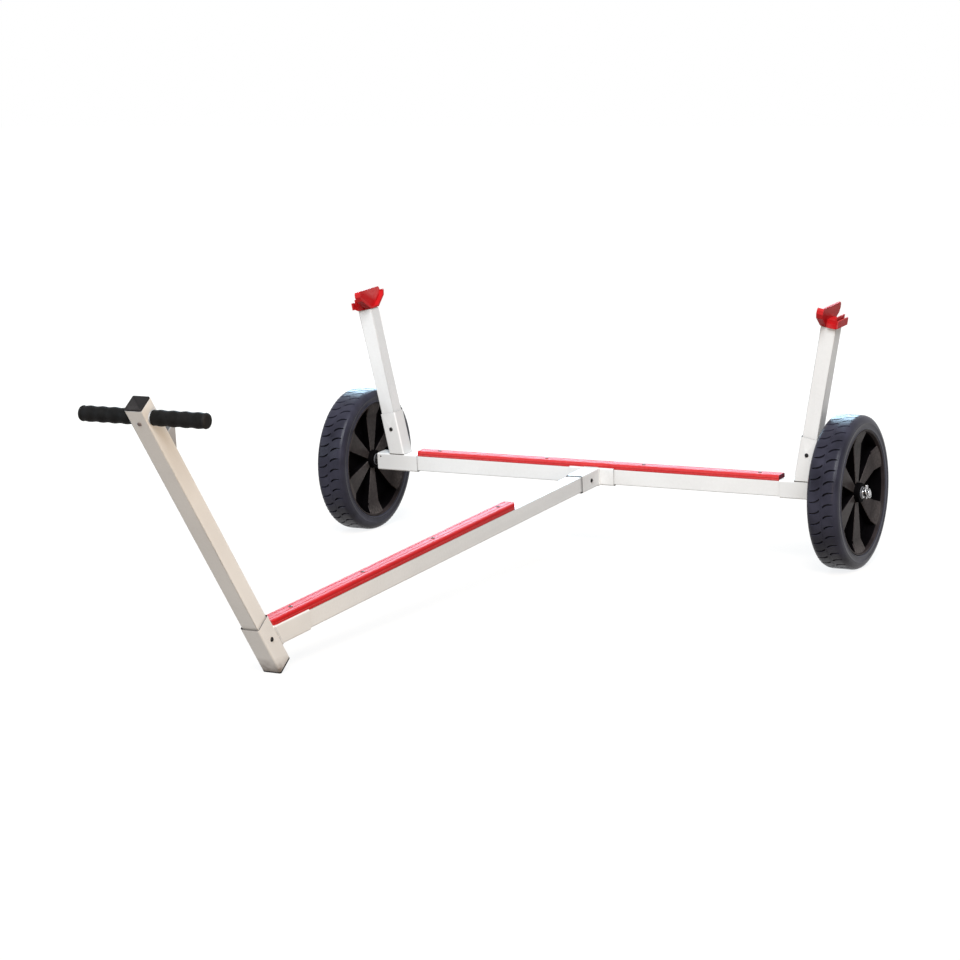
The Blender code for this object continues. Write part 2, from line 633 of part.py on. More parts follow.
def make_axle_strip():
    base = TUBE / 2 + FIT
    half = BRACKET_MOUTH - AXLE_STRIP_GAP
    section = prism("axle_strip", [strip_section(AXLE_STRIP_HEIGHT)], 2 * half)
    lie_along = at(0, 0, base) @ Matrix.Rotation(math.radians(90), 4, "Z") @ ALONG_Y
    strip = place("axle_strip", section, lie_along, red_plastic)
    relief_top = SLEEVE / 2 + FIT
    relief = box("axle_strip_relief", (2 * (TEE_HALF_WIDTH + FIT), WIDE, WIDE), (0, 0, relief_top - WIDE / 2))
    cut(strip, "axle_strip_relief", relief, Matrix.Identity(4))
    for index, x in enumerate(AXLE_SCREW_PLACES):
        drill(strip, f"axle_strip_hole_{index + 1}", SCREW_RADIUS + FIT, at(x, 0, base + PAST), WIDE / 2)
        screw(f"axle_strip_screw_{index + 1}", at(x, 0, base + AXLE_STRIP_HEIGHT + FIT),
              AXLE_STRIP_HEIGHT + TUBE_WALL + SCREW_TAIL)


def make_bracket(name, side):
    """The welded corner: a sleeve on the beam's end, a socket for the upright and a wall for the stub axle."""
    length = BRACKET_END - BRACKET_MOUTH
    middle = at(side * (BRACKET_END + BRACKET_MOUTH) / 2, 0, 0) @ ALONG_X
    bracket = place(f"{name}_bracket", square_bar("bracket_sleeve", SLEEVE, SLEEVE_CORNER, length), middle, aluminium)
    frame = upright_frame(side)
    socket = square_bar("bracket_socket", SLEEVE, SLEEVE_CORNER, UPRIGHT_SOCKET_TOP)
    add(bracket, f"{name}_bracket_socket", socket, frame @ at(0, 0, UPRIGHT_SOCKET_TOP / 2))
    bore_corner = SLEEVE_CORNER - SLEEVE_WALL
    bore_end = BRACKET_END - BRACKET_END_WALL
    bore_start = BRACKET_MOUTH - PAST
    bore = square_bar("bracket_bore", SLEEVE_BORE, bore_corner, bore_end - bore_start)
    cut(bracket, f"{name}_bracket_bore", bore, at(side * (bore_end + bore_start) / 2, 0, 0) @ ALONG_X)
    floor = upright_floor()
    upright_bore = square_bar("upright_bore", SLEEVE_BORE, bore_corner, UPRIGHT_SOCKET_TOP)
    cut(bracket, f"{name}_upright_bore", upright_bore, frame @ at(0, 0, floor + UPRIGHT_SOCKET_TOP / 2))
    axle_hole = cylinder("axle_hole", AXLE_RADIUS + FIT, 2 * BRACKET_END_WALL + PAST, TURN_STEPS)
    cut(bracket, f"{name}_axle_hole", axle_hole, at(side * BRACKET_END, 0, 0) @ ALONG_X)
    drill(bracket, f"{name}_socket_button_hole", BUTTON_HOLE,
          frame @ at(0, -SLEEVE / 2, UPRIGHT_BUTTON_HEIGHT) @ ALONG_Y, PAST)
    drill(bracket, f"{name}_sleeve_rivet_hole", RIVET_RADIUS + FIT, at(side * rivet_place(), 0, -SLEEVE / 2), PAST)
    pin_x = side * (BRACKET_END - BRACKET_END_WALL / 2)
    drill(bracket, f"{name}_bracket_pin_hole", BRACKET_HOLE_RADIUS,
          at(pin_x, -SLEEVE / 2, BRACKET_HOLE_RISE) @ ALONG_Y, 2 * BRACKET_HOLE_DEPTH)


def upright_floor():
    """Distance up the upright's axis at which its square end clears the beam sleeve's top wall."""
    rise = SLEEVE / 2 + FIT + SLEEVE_BORE / 2 * math.sin(UPRIGHT_LEAN)
    return rise / math.cos(UPRIGHT_LEAN)


def make_upright(name, side):
    frame = upright_frame(side)
    bottom = upright_floor() + FIT
    middle = frame @ at(0, 0, (UPRIGHT_TOP + bottom) / 2)
    upright = place(f"{name}_upright", square_tube("upright", UPRIGHT_TOP - bottom), middle, aluminium)
    drill(upright, f"{name}_upright_button_hole", BUTTON_HOLE,
          frame @ at(0, -TUBE / 2, UPRIGHT_BUTTON_HEIGHT) @ ALONG_Y)


def slab(side, start, thickness, bottom, top):
    """A rectangle with a narrower top, in (outboard, up) points."""
    points = [(start, bottom), (start + thickness, bottom), (start + thickness * 0.9, top)]
    points.append((start + thickness * 0.1, top))
    return [(side * x, y) for x, y in points]


def cheek_outline():
    """The inboard cheek of a gunwale support seen along the beam: a D that lies on its round side."""
    return list(CHEEK_OUTLINE) + [(-x, y) for x, y in reversed(CHEEK_OUTLINE)]


def cheek_recess():
    """The hollow on the cheek's inboard side: a wall stays below it and at its front, a lower one behind."""
    (foot, _), (low, low_rise), (wide, wide_rise) = CHEEK_OUTLINE[:3]
    wall = CHEEK_WALL
    over = CHEEK_OUTLINE[-1][1] + 0.01
    points = [(wall - foot, wall), (foot - wall, wall), (low - wall, low_rise + wall * 0.5)]
    rear = CHEEK_REAR_WALL_RISE
    points += [(wide - wall, wide_rise), (wide - wall, rear), (wide + wall, rear), (wide + wall, over)]
    points.append((wall - low, over))
    return points + [(wall - wide, wide_rise), (wall - low, low_rise + wall * 0.5)]


def make_support(name, side):
    top = upright_frame(side) @ at(0, 0, UPRIGHT_TOP + FIT)
    across = top @ ALONG_Y
    cheek_middle = top @ at(side * (CHEEK_OUTER - CHEEK_BLOCK / 2), 0, 0) @ OUTLINE_YZ
    support = place(f"{name}_gunwale_support", prism("support_cheek", [cheek_outline()], CHEEK_BLOCK), cheek_middle,
                    red_plastic)
    recess_middle = top @ at(side * (CHEEK_OUTER - CHEEK_THICKNESS - CHEEK_BLOCK / 2), 0, 0) @ OUTLINE_YZ
    cut(support, f"{name}_support_recess", prism("support_recess", [cheek_recess()], CHEEK_BLOCK), recess_middle)
    inner = CHEEK_OUTER - CHEEK_THICKNESS + SINK
    corner = SEAT_RISE - SEAT_GROOVE
    base = [(inner, 0), (TUBE / 2, 0), (TUBE / 2, corner), (INNER_FIN_PLACE, corner)]
    base += [(INNER_FIN_PLACE - SEAT_GROOVE, SEAT_RISE), (CHEEK_OUTER + SEAT_GROOVE, SEAT_RISE)]
    base += [(CHEEK_OUTER, corner), (inner, corner)]
    add(support, f"{name}_support_base",
        prism("support_base", [[(side * x, y) for x, y in base]], SUPPORT_DEPTH), across)
    floor_reach = OUTER_LIP_PLACE + OUTER_LIP_THICKNESS / 2
    floor = [(0, 2 * SINK), (TUBE / 2 - 2 * SINK, 2 * SINK), (floor_reach, OUTER_LIP_BOTTOM + 2 * SINK)]
    floor += [(floor_reach, OUTER_FLOOR_RISE), (0, OUTER_FLOOR_RISE)]
    add(support, f"{name}_support_floor",
        prism("support_floor", [[(side * x, y) for x, y in floor]], INNER_FIN_LENGTH), across)
    fin = slab(side, INNER_FIN_PLACE, INNER_FIN_THICKNESS, OUTER_FLOOR_RISE - FIN_ROOT, INNER_FIN_RISE)
    add(support, f"{name}_support_fin", prism("support_fin", [fin], INNER_FIN_LENGTH - 2 * SINK), across)
    lip = slab(side, OUTER_LIP_PLACE, OUTER_LIP_THICKNESS, OUTER_LIP_BOTTOM, OUTER_LIP_RISE)
    add(support, f"{name}_support_lip", prism("support_lip", [lip], OUTER_LIP_LENGTH), across)
    tongue = TUBE_INSIDE - 2 * FIT
    plug = square_bar("support_plug", tongue, TUBE_CORNER - TUBE_WALL, SUPPORT_PLUG + PLUG_ROOT)
    add(support, f"{name}_support_plug", plug, top @ at(0, 0, (PLUG_ROOT - SUPPORT_PLUG) / 2))


def make_stub_axle(name, side):
    """Stub axle with its collar between the bracket and the wheel, and a cross hole for the linch pin."""
    inner = BRACKET_END - BRACKET_END_WALL + 3 * FIT
    outer = WHEEL_X + AXLE_REACH
    collar_start = BRACKET_END + FIT
    collar_end = collar_start + AXLE_COLLAR_LENGTH
    profile = [(0, outer), (AXLE_RADIUS - 0.001, outer), (AXLE_RADIUS, outer - 0.001), (AXLE_RADIUS, collar_end)]
    profile += [(AXLE_COLLAR_RADIUS, collar_end), (AXLE_COLLAR_RADIUS, collar_start), (AXLE_RADIUS, collar_start)]
    profile += [(AXLE_RADIUS, inner), (0, inner)]
    axle = turned(f"{name}_stub_axle", profile, side_axis(side), stainless)
    drill(axle, f"{name}_axle_pin_hole", LINCH_RADIUS + FIT, at(side * (WHEEL_X + LINCH_PLACE), 0, 0), 0.03)


def side_axis(side):
    """Frame at the middle of the axle whose Z runs outboard on the given side."""
    return ALONG_X if side > 0 else Matrix.Rotation(math.radians(-90), 4, "Y")


def make_washer(name, side):
    inner = AXLE_RADIUS + FIT
    start = WHEEL_X + HUB_WIDTH / 2 + BUSH_FLANGE + 2 * FIT
    end = start + WASHER_THICKNESS
    profile = [(inner, end), (WASHER_RADIUS, end), (WASHER_RADIUS, start), (inner, start)]
    turned(f"{name}_washer", profile, side_axis(side), stainless, closed=True)


def make_linch_pin(name, side):
    """Linch pin through the axle's end, and the wire ring that swings on its head."""
    x = side * (WHEEL_X + LINCH_PLACE)
    seat = AXLE_RADIUS + FIT
    head_top = seat + LINCH_HEAD_HEIGHT
    head = LINCH_HEAD_RADIUS
    profile = [(0, head_top), (head * LINCH_HEAD_CROWN, head_top - FIT), (head, head_top - LINCH_CHAMFER)]
    profile.append((head, seat))
    profile += [(LINCH_RADIUS, seat), (LINCH_RADIUS, LINCH_CHAMFER - LINCH_TAIL), (LINCH_RADIUS / 2, -LINCH_TAIL)]
    profile.append((0, -LINCH_TAIL))
    pin = turned(f"{name}_linch_pin", profile, at(x, 0, 0), stainless, steps=SMALL_STEPS)
    ring_height = ring_pivot_height()
    ring_hole = cylinder("ring_hole", RING_WIRE_RADIUS + FIT, 0.03)
    cut(pin, f"{name}_ring_hole", ring_hole, at(x, 0, ring_height) @ ALONG_Y)
    curve = bpy.data.curves.new(f"{name}_linch_ring", "CURVE")
    curve.dimensions = "3D"
    curve.bevel_depth = RING_WIRE_RADIUS
    curve.bevel_resolution = 1
    curve.use_fill_caps = True
    spline = curve.splines.new("POLY")
    path = ring_path()
    spline.points.add(len(path) - 1)
    for point, co in zip(spline.points, path):
        point.co = (side * co[0], co[1], co[2], 1)
    pivot = empty(f"{name}_ring_pivot", chassis, at(x, 0, ring_height))
    place(f"{name}_linch_ring", curve, Matrix.Identity(4), stainless, pivot)


def ring_pivot_height():
    return AXLE_RADIUS + FIT + LINCH_HEAD_HEIGHT * 0.55


def ring_path():
    """Centre line of the ring about its pivot: out of the head along Y, then round below, slanting outboard."""
    stub = LINCH_HEAD_RADIUS + 0.0008
    drop = math.sqrt(RING_LOOP_RADIUS ** 2 - stub ** 2)
    opening = math.asin(stub / RING_LOOP_RADIUS)
    flat = [(0.0012, 0.0), (stub * 0.75, 0.0)]
    steps = 20
    for step in range(steps + 1):
        turn = opening + (2 * math.pi - 2 * opening) * step / steps
        flat.append((RING_LOOP_RADIUS * math.sin(turn), RING_LOOP_RADIUS * math.cos(turn) - drop))
    flat += [(-stub * 0.75, 0.0), (-0.0012, 0.0)]
    return [(-height * math.sin(RING_SLANT), across, height * math.cos(RING_SLANT)) for across, height in flat]


def tyre_profile():
    """Closed section of the moulded tyre: outer side from one bead over the tread to the other."""
    half = TYRE_WIDTH / 2
    bead = RIM_RADIUS + FIT
    profile = [(bead, half - 0.0025), (bead + 0.004, half - TYRE_SIDE_DROP)]
    for step in range(4):
        turn = math.radians(90 * step / 3)
        profile.append((TYRE_RADIUS - TYRE_SHOULDER + TYRE_SHOULDER * math.sin(turn),
                        half - TYRE_SHOULDER + TYRE_SHOULDER * math.cos(turn)))
    mirrored = [(radius, -height) for radius, height in reversed(profile)]
    return profile + mirrored


def centre_profile():
    """Closed section of the wheel centre: rim, web and hub about the bore for the bushes."""
    rim_half = RIM_WIDTH / 2
    web_half = WEB_THICKNESS / 2
    hub_half = HUB_WIDTH / 2
    bore = AXLE_RADIUS + FIT + BUSH_WALL + BUSH_FIT
    inside = RIM_RADIUS - RIM_WALL
    upper = [(bore, hub_half), (HUB_RADIUS - 0.002, hub_half), (HUB_RADIUS, hub_half - 0.002)]
    upper += [(HUB_RADIUS + 0.001, web_half), (inside - 0.001, web_half), (inside, rim_half - RIM_FLARE)]
    upper += [(RIM_RADIUS - RIM_LIP, rim_half), (RIM_RADIUS, rim_half)]
    return upper + [(radius, -height) for radius, height in reversed(upper)]


def spoke_star():
    """Outline of the six wedge spokes as one star, wide at the rim and narrow at the hub."""
    outline = []
    inner = HUB_RADIUS - 0.001
    outer = RIM_RADIUS - RIM_WALL * 0.5
    for spoke in range(SPOKE_COUNT):
        direction = CHASSIS_TILT + 2 * math.pi * spoke / SPOKE_COUNT
        half_in = math.asin(SPOKE_WIDTH_IN / 2 / inner)
        half_out = math.asin(SPOKE_WIDTH_OUT / 2 / outer)
        for radius, turn in ((inner, -half_in), (outer, -half_out), (outer, 0), (outer, half_out), (inner, half_in)):
            outline.append((radius * math.cos(direction + turn), radius * math.sin(direction + turn)))
    return outline


def make_wheel(name, side):
    upright = Matrix.Rotation(-CHASSIS_TILT, 4, "X")
    pivot = empty(f"{name}_wheel_pivot", chassis, at(side * WHEEL_X, 0, 0) @ upright)
    turned(f"{name}_tyre", tyre_profile(), ALONG_X, tyre_rubber, pivot, closed=True, steps=WHEEL_STEPS)
    centre = turned(f"{name}_wheel_centre", centre_profile(), ALONG_X, black_plastic, pivot, closed=True,
                    steps=WHEEL_STEPS)
    hole = circle(HUB_RADIUS - 0.005)
    add(centre, f"{name}_spokes", prism("spokes", [spoke_star(), hole], SPOKE_DEPTH), ALONG_X, pivot)
    for end_name, end in (("outer", side), ("inner", -side)):
        turned(f"{name}_{end_name}_bush", bush_profile(), side_axis(end), bush_nylon, pivot, closed=True)


def bush_profile():
    inner = AXLE_RADIUS + FIT
    outer = inner + BUSH_WALL
    face = HUB_WIDTH / 2 + FIT
    flange = face + BUSH_FLANGE
    end = HUB_WIDTH / 2 - BUSH_LENGTH
    return [(inner, flange), (BUSH_FLANGE_RADIUS, flange), (BUSH_FLANGE_RADIUS, face), (outer, face),
            (outer, end), (inner, end)]


def snap_button(name, surface, roll=0.0):
    """A sprung button and its leaf spring. Local Z of the surface frame points out of the tube's outer face."""
    turn = surface @ Matrix.Rotation(roll, 4, "Z")
    top = SLEEVE_WALL + FIT + BUTTON_PROUD
    inside = -TUBE_WALL - FIT
    flange_end = inside - BUTTON_FLANGE
    dome = BUTTON_RADIUS
    profile = [(0, top), (dome * 0.6, top - 0.0003), (dome * 0.9, top - 0.001), (dome, top - 0.002), (dome, inside)]
    profile += [(BUTTON_FLANGE_RADIUS, inside), (BUTTON_FLANGE_RADIUS, flange_end), (0, flange_end)]
    turned(name, profile, turn, black_plastic, steps=SMALL_STEPS)
    near = flange_end - FIT - SPRING_THICKNESS / 2
    far = -TUBE + TUBE_WALL + FIT + SPRING_THICKNESS / 2
    path = [(0.007, near), (-0.007, near), (-SPRING_REACH + 0.004, far + 0.010), (-SPRING_REACH, far + 0.005)]
    path += [(-SPRING_REACH + 0.003, far + 0.0005), (-SPRING_REACH + 0.008, far), (0.004, far)]
    leaf = prism(f"{name}_spring", [strip_outline(path, SPRING_THICKNESS)], SPRING_WIDTH)
    place(f"{name}_spring", leaf, turn @ ALONG_Y, spring_steel)


def make_buttons():
    for name, side in SIDES:
        face = upright_frame(side) @ at(0, -TUBE / 2, UPRIGHT_BUTTON_HEIGHT) @ ALONG_Y
        snap_button(f"{name}_upright_button", face, math.radians(-90))
    snap_button("keel_button", at(TUBE / 2, -TEE_BUTTON_PLACE, 0) @ ALONG_X, math.radians(90))
    snap_button("post_button", POST @ at(TUBE / 2, 0, POST_BUTTON_HEIGHT) @ ALONG_X, math.radians(180))


clear_scene()
parts = new_collection("dinghy_launching_trolley")
cutters = new_collection("cutters")
aluminium = material("anodised_aluminium", (0.78, 0.78, 0.77), 0.34, 0.85)
stainless = material("stainless_steel", (0.62, 0.62, 0.61), 0.25, 1.0)
spring_steel = material("spring_steel", (0.30, 0.30, 0.31), 0.35, 1.0)
grey_metal = material("grey_sheet_metal", (0.30, 0.29, 0.28), 0.45, 0.6)
red_plastic = material("red_plastic", (0.72, 0.03, 0.05), 0.32)
black_plastic = material("black_plastic", (0.018, 0.018, 0.020), 0.42)
black_rubber = material("black_grip_rubber", (0.022, 0.021, 0.021), 0.62)
tyre_rubber = material("tyre_rubber", (0.030, 0.031, 0.036), 0.58)
bush_nylon = material("bush_nylon", (0.10, 0.10, 0.11), 0.5)
chassis = empty("chassis", None, CHASSIS)

make_axle_beam()
make_keel_tube()
make_tee_fitting()
make_foot_fitting()
make_foot_plug()
make_post()
make_handle()
make_bow_bracket()
make_keel_strip()
make_axle_strip()
make_rivets()
make_buttons()
for side_name, side_sign in SIDES:
    make_bracket(side_name, side_sign)
    make_upright(side_name, side_sign)
    make_support(side_name, side_sign)
    make_stub_axle(side_name, side_sign)
    make_washer(side_name, side_sign)
    make_linch_pin(side_name, side_sign)
    make_wheel(side_name, side_sign)
bpy.context.view_layer.update()
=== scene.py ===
# %% [markdown]
# # A dinghy launching trolley
# The trolley carries a small sailing boat from its berth to the water. A beam on two wheels takes the
# weight, a long keel tube runs forward to a leaning post, and the sailor walks holding the bar on the post.
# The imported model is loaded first: it is the frame that every piece below is measured from.

import json
import math

import bmesh
import bpy
from mathutils import Matrix, Vector


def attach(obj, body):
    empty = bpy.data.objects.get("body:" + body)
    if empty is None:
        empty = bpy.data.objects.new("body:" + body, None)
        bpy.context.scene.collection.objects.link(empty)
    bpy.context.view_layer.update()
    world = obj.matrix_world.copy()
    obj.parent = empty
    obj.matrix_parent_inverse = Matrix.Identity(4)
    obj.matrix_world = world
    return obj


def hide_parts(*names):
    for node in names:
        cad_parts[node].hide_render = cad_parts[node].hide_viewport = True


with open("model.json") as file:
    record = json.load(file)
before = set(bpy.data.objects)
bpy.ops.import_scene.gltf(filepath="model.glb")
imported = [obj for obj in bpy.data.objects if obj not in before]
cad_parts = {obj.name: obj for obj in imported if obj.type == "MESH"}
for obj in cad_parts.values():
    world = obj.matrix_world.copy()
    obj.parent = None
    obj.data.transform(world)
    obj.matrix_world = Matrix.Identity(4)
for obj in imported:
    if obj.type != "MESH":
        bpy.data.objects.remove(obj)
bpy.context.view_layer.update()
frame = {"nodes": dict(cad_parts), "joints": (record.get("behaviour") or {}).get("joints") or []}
print("loaded", len(frame["nodes"]), "pieces")

# %% [markdown]
# The whole trolley tips forward a few degrees about its axle, because the foot of the post is lower than
# the hubs are high. Most pieces are easier to draw in the trolley's own frame, with the beam along X and
# the keel tube along -Y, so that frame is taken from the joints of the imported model.

# %% The trolley's own frame
joints = {joint["name"]: joint for joint in frame["joints"]}
wheel_place = Vector(joints["right_wheel_spin"]["pos_m"])
button_way = Vector(joints["right_upright_button_press"]["axis"])
TILT = math.atan2(button_way.z, button_way.y)
FIT = 0.0003
NEAR = 0.0002
TUBE = 0.035
WALL = 0.002
CORNER = 0.002
INSIDE_CORNER = 0.0008
SLEEVE = 0.0402
SLEEVE_BORE = 0.0356
SLEEVE_CORNER = 0.0036
BORE_CORNER = 0.003
KEEL_LENGTH = 1.392
POST_LEAN = math.radians(33.0)
UPRIGHT_SPREAD = 0.508
UPRIGHT_LEAN = math.radians(11.0)
SIDES = (("left", -1), ("right", 1))


def at(x=0.0, y=0.0, z=0.0):
    return Matrix.Translation((x, y, z))


def turn(degrees, axis):
    return Matrix.Rotation(math.radians(degrees), 4, axis)


CHASSIS = at(0, wheel_place.y, wheel_place.z) @ Matrix.Rotation(TILT, 4, "X")
POST = CHASSIS @ at(0, -KEEL_LENGTH, 0) @ Matrix.Rotation(POST_LEAN, 4, "X")
ALONG_X = turn(90, "Y")
ALONG_Y = turn(90, "X")


def upright_frame(side):
    return CHASSIS @ at(side * UPRIGHT_SPREAD) @ Matrix.Rotation(side * UPRIGHT_LEAN, 4, "Y")


print("tilt", round(math.degrees(TILT), 3), "degrees about the axle")

# %% [markdown]
# The camera stands where the photograph was taken from: in front, to the right and a little above, with a
# long lens. Its place was solved from the straight edges of the tubes.

# %% Camera
CAMERA_PLACE = (2.5999, -4.5122, 1.1253)
CAMERA_TURN = (80.7031, 0.8969, 28.4968)
LENS = 98.36
SENSOR = 36.0

lens = bpy.data.cameras.new("camera")
lens.lens = LENS
lens.sensor_width = SENSOR
camera = bpy.data.objects.new("camera", lens)
camera.location = CAMERA_PLACE
camera.rotation_euler = [math.radians(angle) for angle in CAMERA_TURN]
bpy.context.scene.collection.objects.link(camera)
bpy.context.scene.camera = camera
print("camera", CAMERA_PLACE)

# %% [markdown]
# Small helpers keep the modelling short. Operators act on all that is selected, so `only` selects one object,
# and `edit` opens it with nothing picked. `pick` then selects vertices, edges or faces by a test. A shape that
# is done is left with `leave`, or with `close_outwards` where its faces may point the wrong way.

# %% Selecting by code


def only(piece):
    bpy.ops.object.select_all(action="DESELECT")
    piece.select_set(True)
    bpy.context.view_layer.objects.active = piece
    return piece


def select_every():
    bpy.ops.mesh.select_all(action="SELECT")


def select_none():
    bpy.ops.mesh.select_all(action="DESELECT")


def edit(piece, mode="FACE"):
    only(piece)
    bpy.ops.object.mode_set(mode="EDIT")
    bpy.ops.mesh.select_mode(type=mode)
    select_none()


def leave():
    bpy.ops.object.mode_set(mode="OBJECT")


def close_outwards():
    """Turn every face outwards and leave edit mode."""
    select_every()
    bpy.ops.mesh.normals_make_consistent(inside=False)
    leave()


def pick(kind, test):
    shape = bmesh.from_edit_mesh(bpy.context.object.data)
    shape.normal_update()
    for item in list(getattr(shape, kind)):
        if test(item):
            item.select_set(True)
    shape.select_flush_mode()
    bmesh.update_edit_mesh(bpy.context.object.data)


def runs_along(edge, axis):
    way = (edge.verts[1].co - edge.verts[0].co).normalized()
    return abs(way[axis]) > 0.99


def named(name):
    piece = bpy.context.object
    piece.name = name
    piece.data.name = name
    return piece


print("helpers ready")

# %% [markdown]
# Every finished piece stays at the origin with its place in its mesh. Before it is moved there, its own
# coordinates are written into an attribute, so that drawing lines can run along a tube however it leans.
# Then the piece takes its material and rides on its body, and the plain solid that it stands for is hidden.

# %% Settling a piece
MADE_AT = "made_at"
SMOOTH_ANGLE = math.radians(32)


def apply_modifier(piece, modifier):
    only(piece)
    bpy.ops.object.modifier_apply(modifier=modifier.name)


def rounded(piece, width, segments=2, angle=40):
    bevel = piece.modifiers.new("Rounded", "BEVEL")
    bevel.width = width
    bevel.segments = segments
    bevel.limit_method = "ANGLE"
    bevel.angle_limit = math.radians(angle)
    apply_modifier(piece, bevel)
    return piece


def settle(piece, placement, finish, body="chassis", slot=None, replaces=(), smooth=SMOOTH_ANGLE):
    stored = piece.data.attributes.new(MADE_AT, "FLOAT_VECTOR", "POINT")
    stored.data.foreach_set("vector", [c for vertex in piece.data.vertices for c in vertex.co])
    piece.matrix_world = placement @ piece.matrix_world
    only(piece)
    bpy.ops.object.transform_apply(location=True, rotation=True, scale=True)
    bpy.ops.object.shade_smooth_by_angle(angle=smooth)
    even = piece.modifiers.new("Even normals", "WEIGHTED_NORMAL")
    even.keep_sharp = True
    apply_modifier(piece, even)
    piece.data.materials.clear()
    piece.data.materials.append(finish)
    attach(piece, body)
    slot or SLOT_OF[finish.name]
    if replaces:
        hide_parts(*replaces)
    return piece


def copy_of(piece, name):
    twin = bpy.data.objects.new(name, piece.data.copy())
    twin.data.name = name
    twin.matrix_world = piece.matrix_world.copy()
    bpy.context.scene.collection.objects.link(twin)
    return twin


print("settling ready")

# %% [markdown]
# ## Finishes
# Each finish is a Principled shader with a little life in it. Effects that several finishes share are node
# groups. `wire` joins two sockets of a group or material, and `dial` sets one. The first group gives an even,
# cloudy variation: nothing that has been handled is the same all over.

# %% Node group: clouding


def new_group(name, inputs, output):
    group = bpy.data.node_groups.new(name, "ShaderNodeTree")
    for socket, value in inputs:
        made = group.interface.new_socket(socket, in_out="INPUT", socket_type="NodeSocketFloat")
        made.default_value = value
    group.interface.new_socket(output, in_out="OUTPUT", socket_type="NodeSocketFloat")
    entry = group.nodes.new("NodeGroupInput")
    exit_node = group.nodes.new("NodeGroupOutput")
    return group, entry, exit_node


def add_node(tree, kind, **values):
    node = tree.nodes.new(kind)
    for key, value in values.items():
        setattr(node, key, value)
    return node


def wire(tree, source, output, target, socket):
    tree.links.new(source.outputs[output], target.inputs[socket])


def dial(node, socket, value):
    node.inputs[socket].default_value = value


clouding, entry, leaving = new_group("clouding", [("Scale", 20.0), ("Detail", 4.0)], "Value")
place_node = add_node(clouding, "ShaderNodeTexCoord")
cloud = add_node(clouding, "ShaderNodeTexNoise")
wire(clouding, place_node, "Object", cloud, "Vector")
wire(clouding, entry, "Scale", cloud, "Scale")
wire(clouding, entry, "Detail", cloud, "Detail")
wire(clouding, cloud, "Fac", leaving, "Value")
print("group", clouding.name)

# %% [markdown]
# Edges and corners are rubbed first. On most finishes that is wear; on the tyres and the wheel centres the
# paler edge is a painted glint. Pointiness tells how sharply a surface bends, and a fine noise breaks the
# line up, so that it does not look like a drawn outline.

# %% Node group: edge wear and painted glint
wear_and_glint_inputs = [("Start", 0.52), ("End", 0.60), ("Breakup", 180.0)]
edge_wear, entry, leaving = new_group("edge_wear", wear_and_glint_inputs, "Mask")
geometry = add_node(edge_wear, "ShaderNodeNewGeometry")
place_node = add_node(edge_wear, "ShaderNodeTexCoord")
breakup = add_node(edge_wear, "ShaderNodeTexNoise")
ramp = add_node(edge_wear, "ShaderNodeMapRange")
times = add_node(edge_wear, "ShaderNodeMath", operation="MULTIPLY")
wire(edge_wear, place_node, "Object", breakup, "Vector")
wire(edge_wear, entry, "Breakup", breakup, "Scale")
wire(edge_wear, geometry, "Pointiness", ramp, "Value")
wire(edge_wear, entry, "Start", ramp, "From Min")
wire(edge_wear, entry, "End", ramp, "From Max")
wire(edge_wear, ramp, "Result", times, 0)
wire(edge_wear, breakup, "Fac", times, 1)
wire(edge_wear, times, "Value", leaving, "Mask")
print("group", edge_wear.name)

# %% [markdown]
# Drawn tube carries faint lines along its length, left by the die. They come from a noise that is stretched
# along the piece's own Z, the way it was made.

# %% Node group: drawing lines
drawn_lines, entry, leaving = new_group("drawn_lines", [("Across", 900.0), ("Along", 6.0)], "Value")
made_at = add_node(drawn_lines, "ShaderNodeAttribute", attribute_name=MADE_AT)
stretch = add_node(drawn_lines, "ShaderNodeCombineXYZ")
scaled = add_node(drawn_lines, "ShaderNodeVectorMath", operation="MULTIPLY")
lines = add_node(drawn_lines, "ShaderNodeTexNoise")
dial(lines, "Scale", 1.0)
dial(lines, "Detail", 3.0)
wire(drawn_lines, entry, "Across", stretch, "X")
wire(drawn_lines, entry, "Across", stretch, "Y")
wire(drawn_lines, entry, "Along", stretch, "Z")
wire(drawn_lines, made_at, "Vector", scaled, 0)
wire(drawn_lines, stretch, "Vector", scaled, 1)
wire(drawn_lines, scaled, "Vector", lines, "Vector")
wire(drawn_lines, lines, "Fac", leaving, "Value")
print("group", drawn_lines.name)

# %% [markdown]
# The lowest few centimetres of the foot are darker towards the ground. The height comes from the trolley's
# place on the ground, and a coarse noise makes the upper edge of the darkening uneven.

# %% Node group: darker near the ground
near_ground_inputs = [("Top", 0.034), ("Bottom", 0.002), ("Breakup", 60.0)]
ground_grime, entry, leaving = new_group("ground_grime", near_ground_inputs, "Mask")
place_node = add_node(ground_grime, "ShaderNodeTexCoord")
split = add_node(ground_grime, "ShaderNodeSeparateXYZ")
fade = add_node(ground_grime, "ShaderNodeMapRange")
patch = add_node(ground_grime, "ShaderNodeTexNoise")
times = add_node(ground_grime, "ShaderNodeMath", operation="MULTIPLY")
wire(ground_grime, place_node, "Object", split, "Vector")
wire(ground_grime, place_node, "Object", patch, "Vector")
wire(ground_grime, split, "Z", fade, "Value")
dial(fade, "To Max", 1.8)
wire(ground_grime, entry, "Top", fade, "From Min")
wire(ground_grime, entry, "Bottom", fade, "From Max")
wire(ground_grime, entry, "Breakup", patch, "Scale")
wire(ground_grime, fade, "Result", times, 0)
wire(ground_grime, patch, "Fac", times, 1)
wire(ground_grime, times, "Value", leaving, "Mask")
print("group", ground_grime.name)
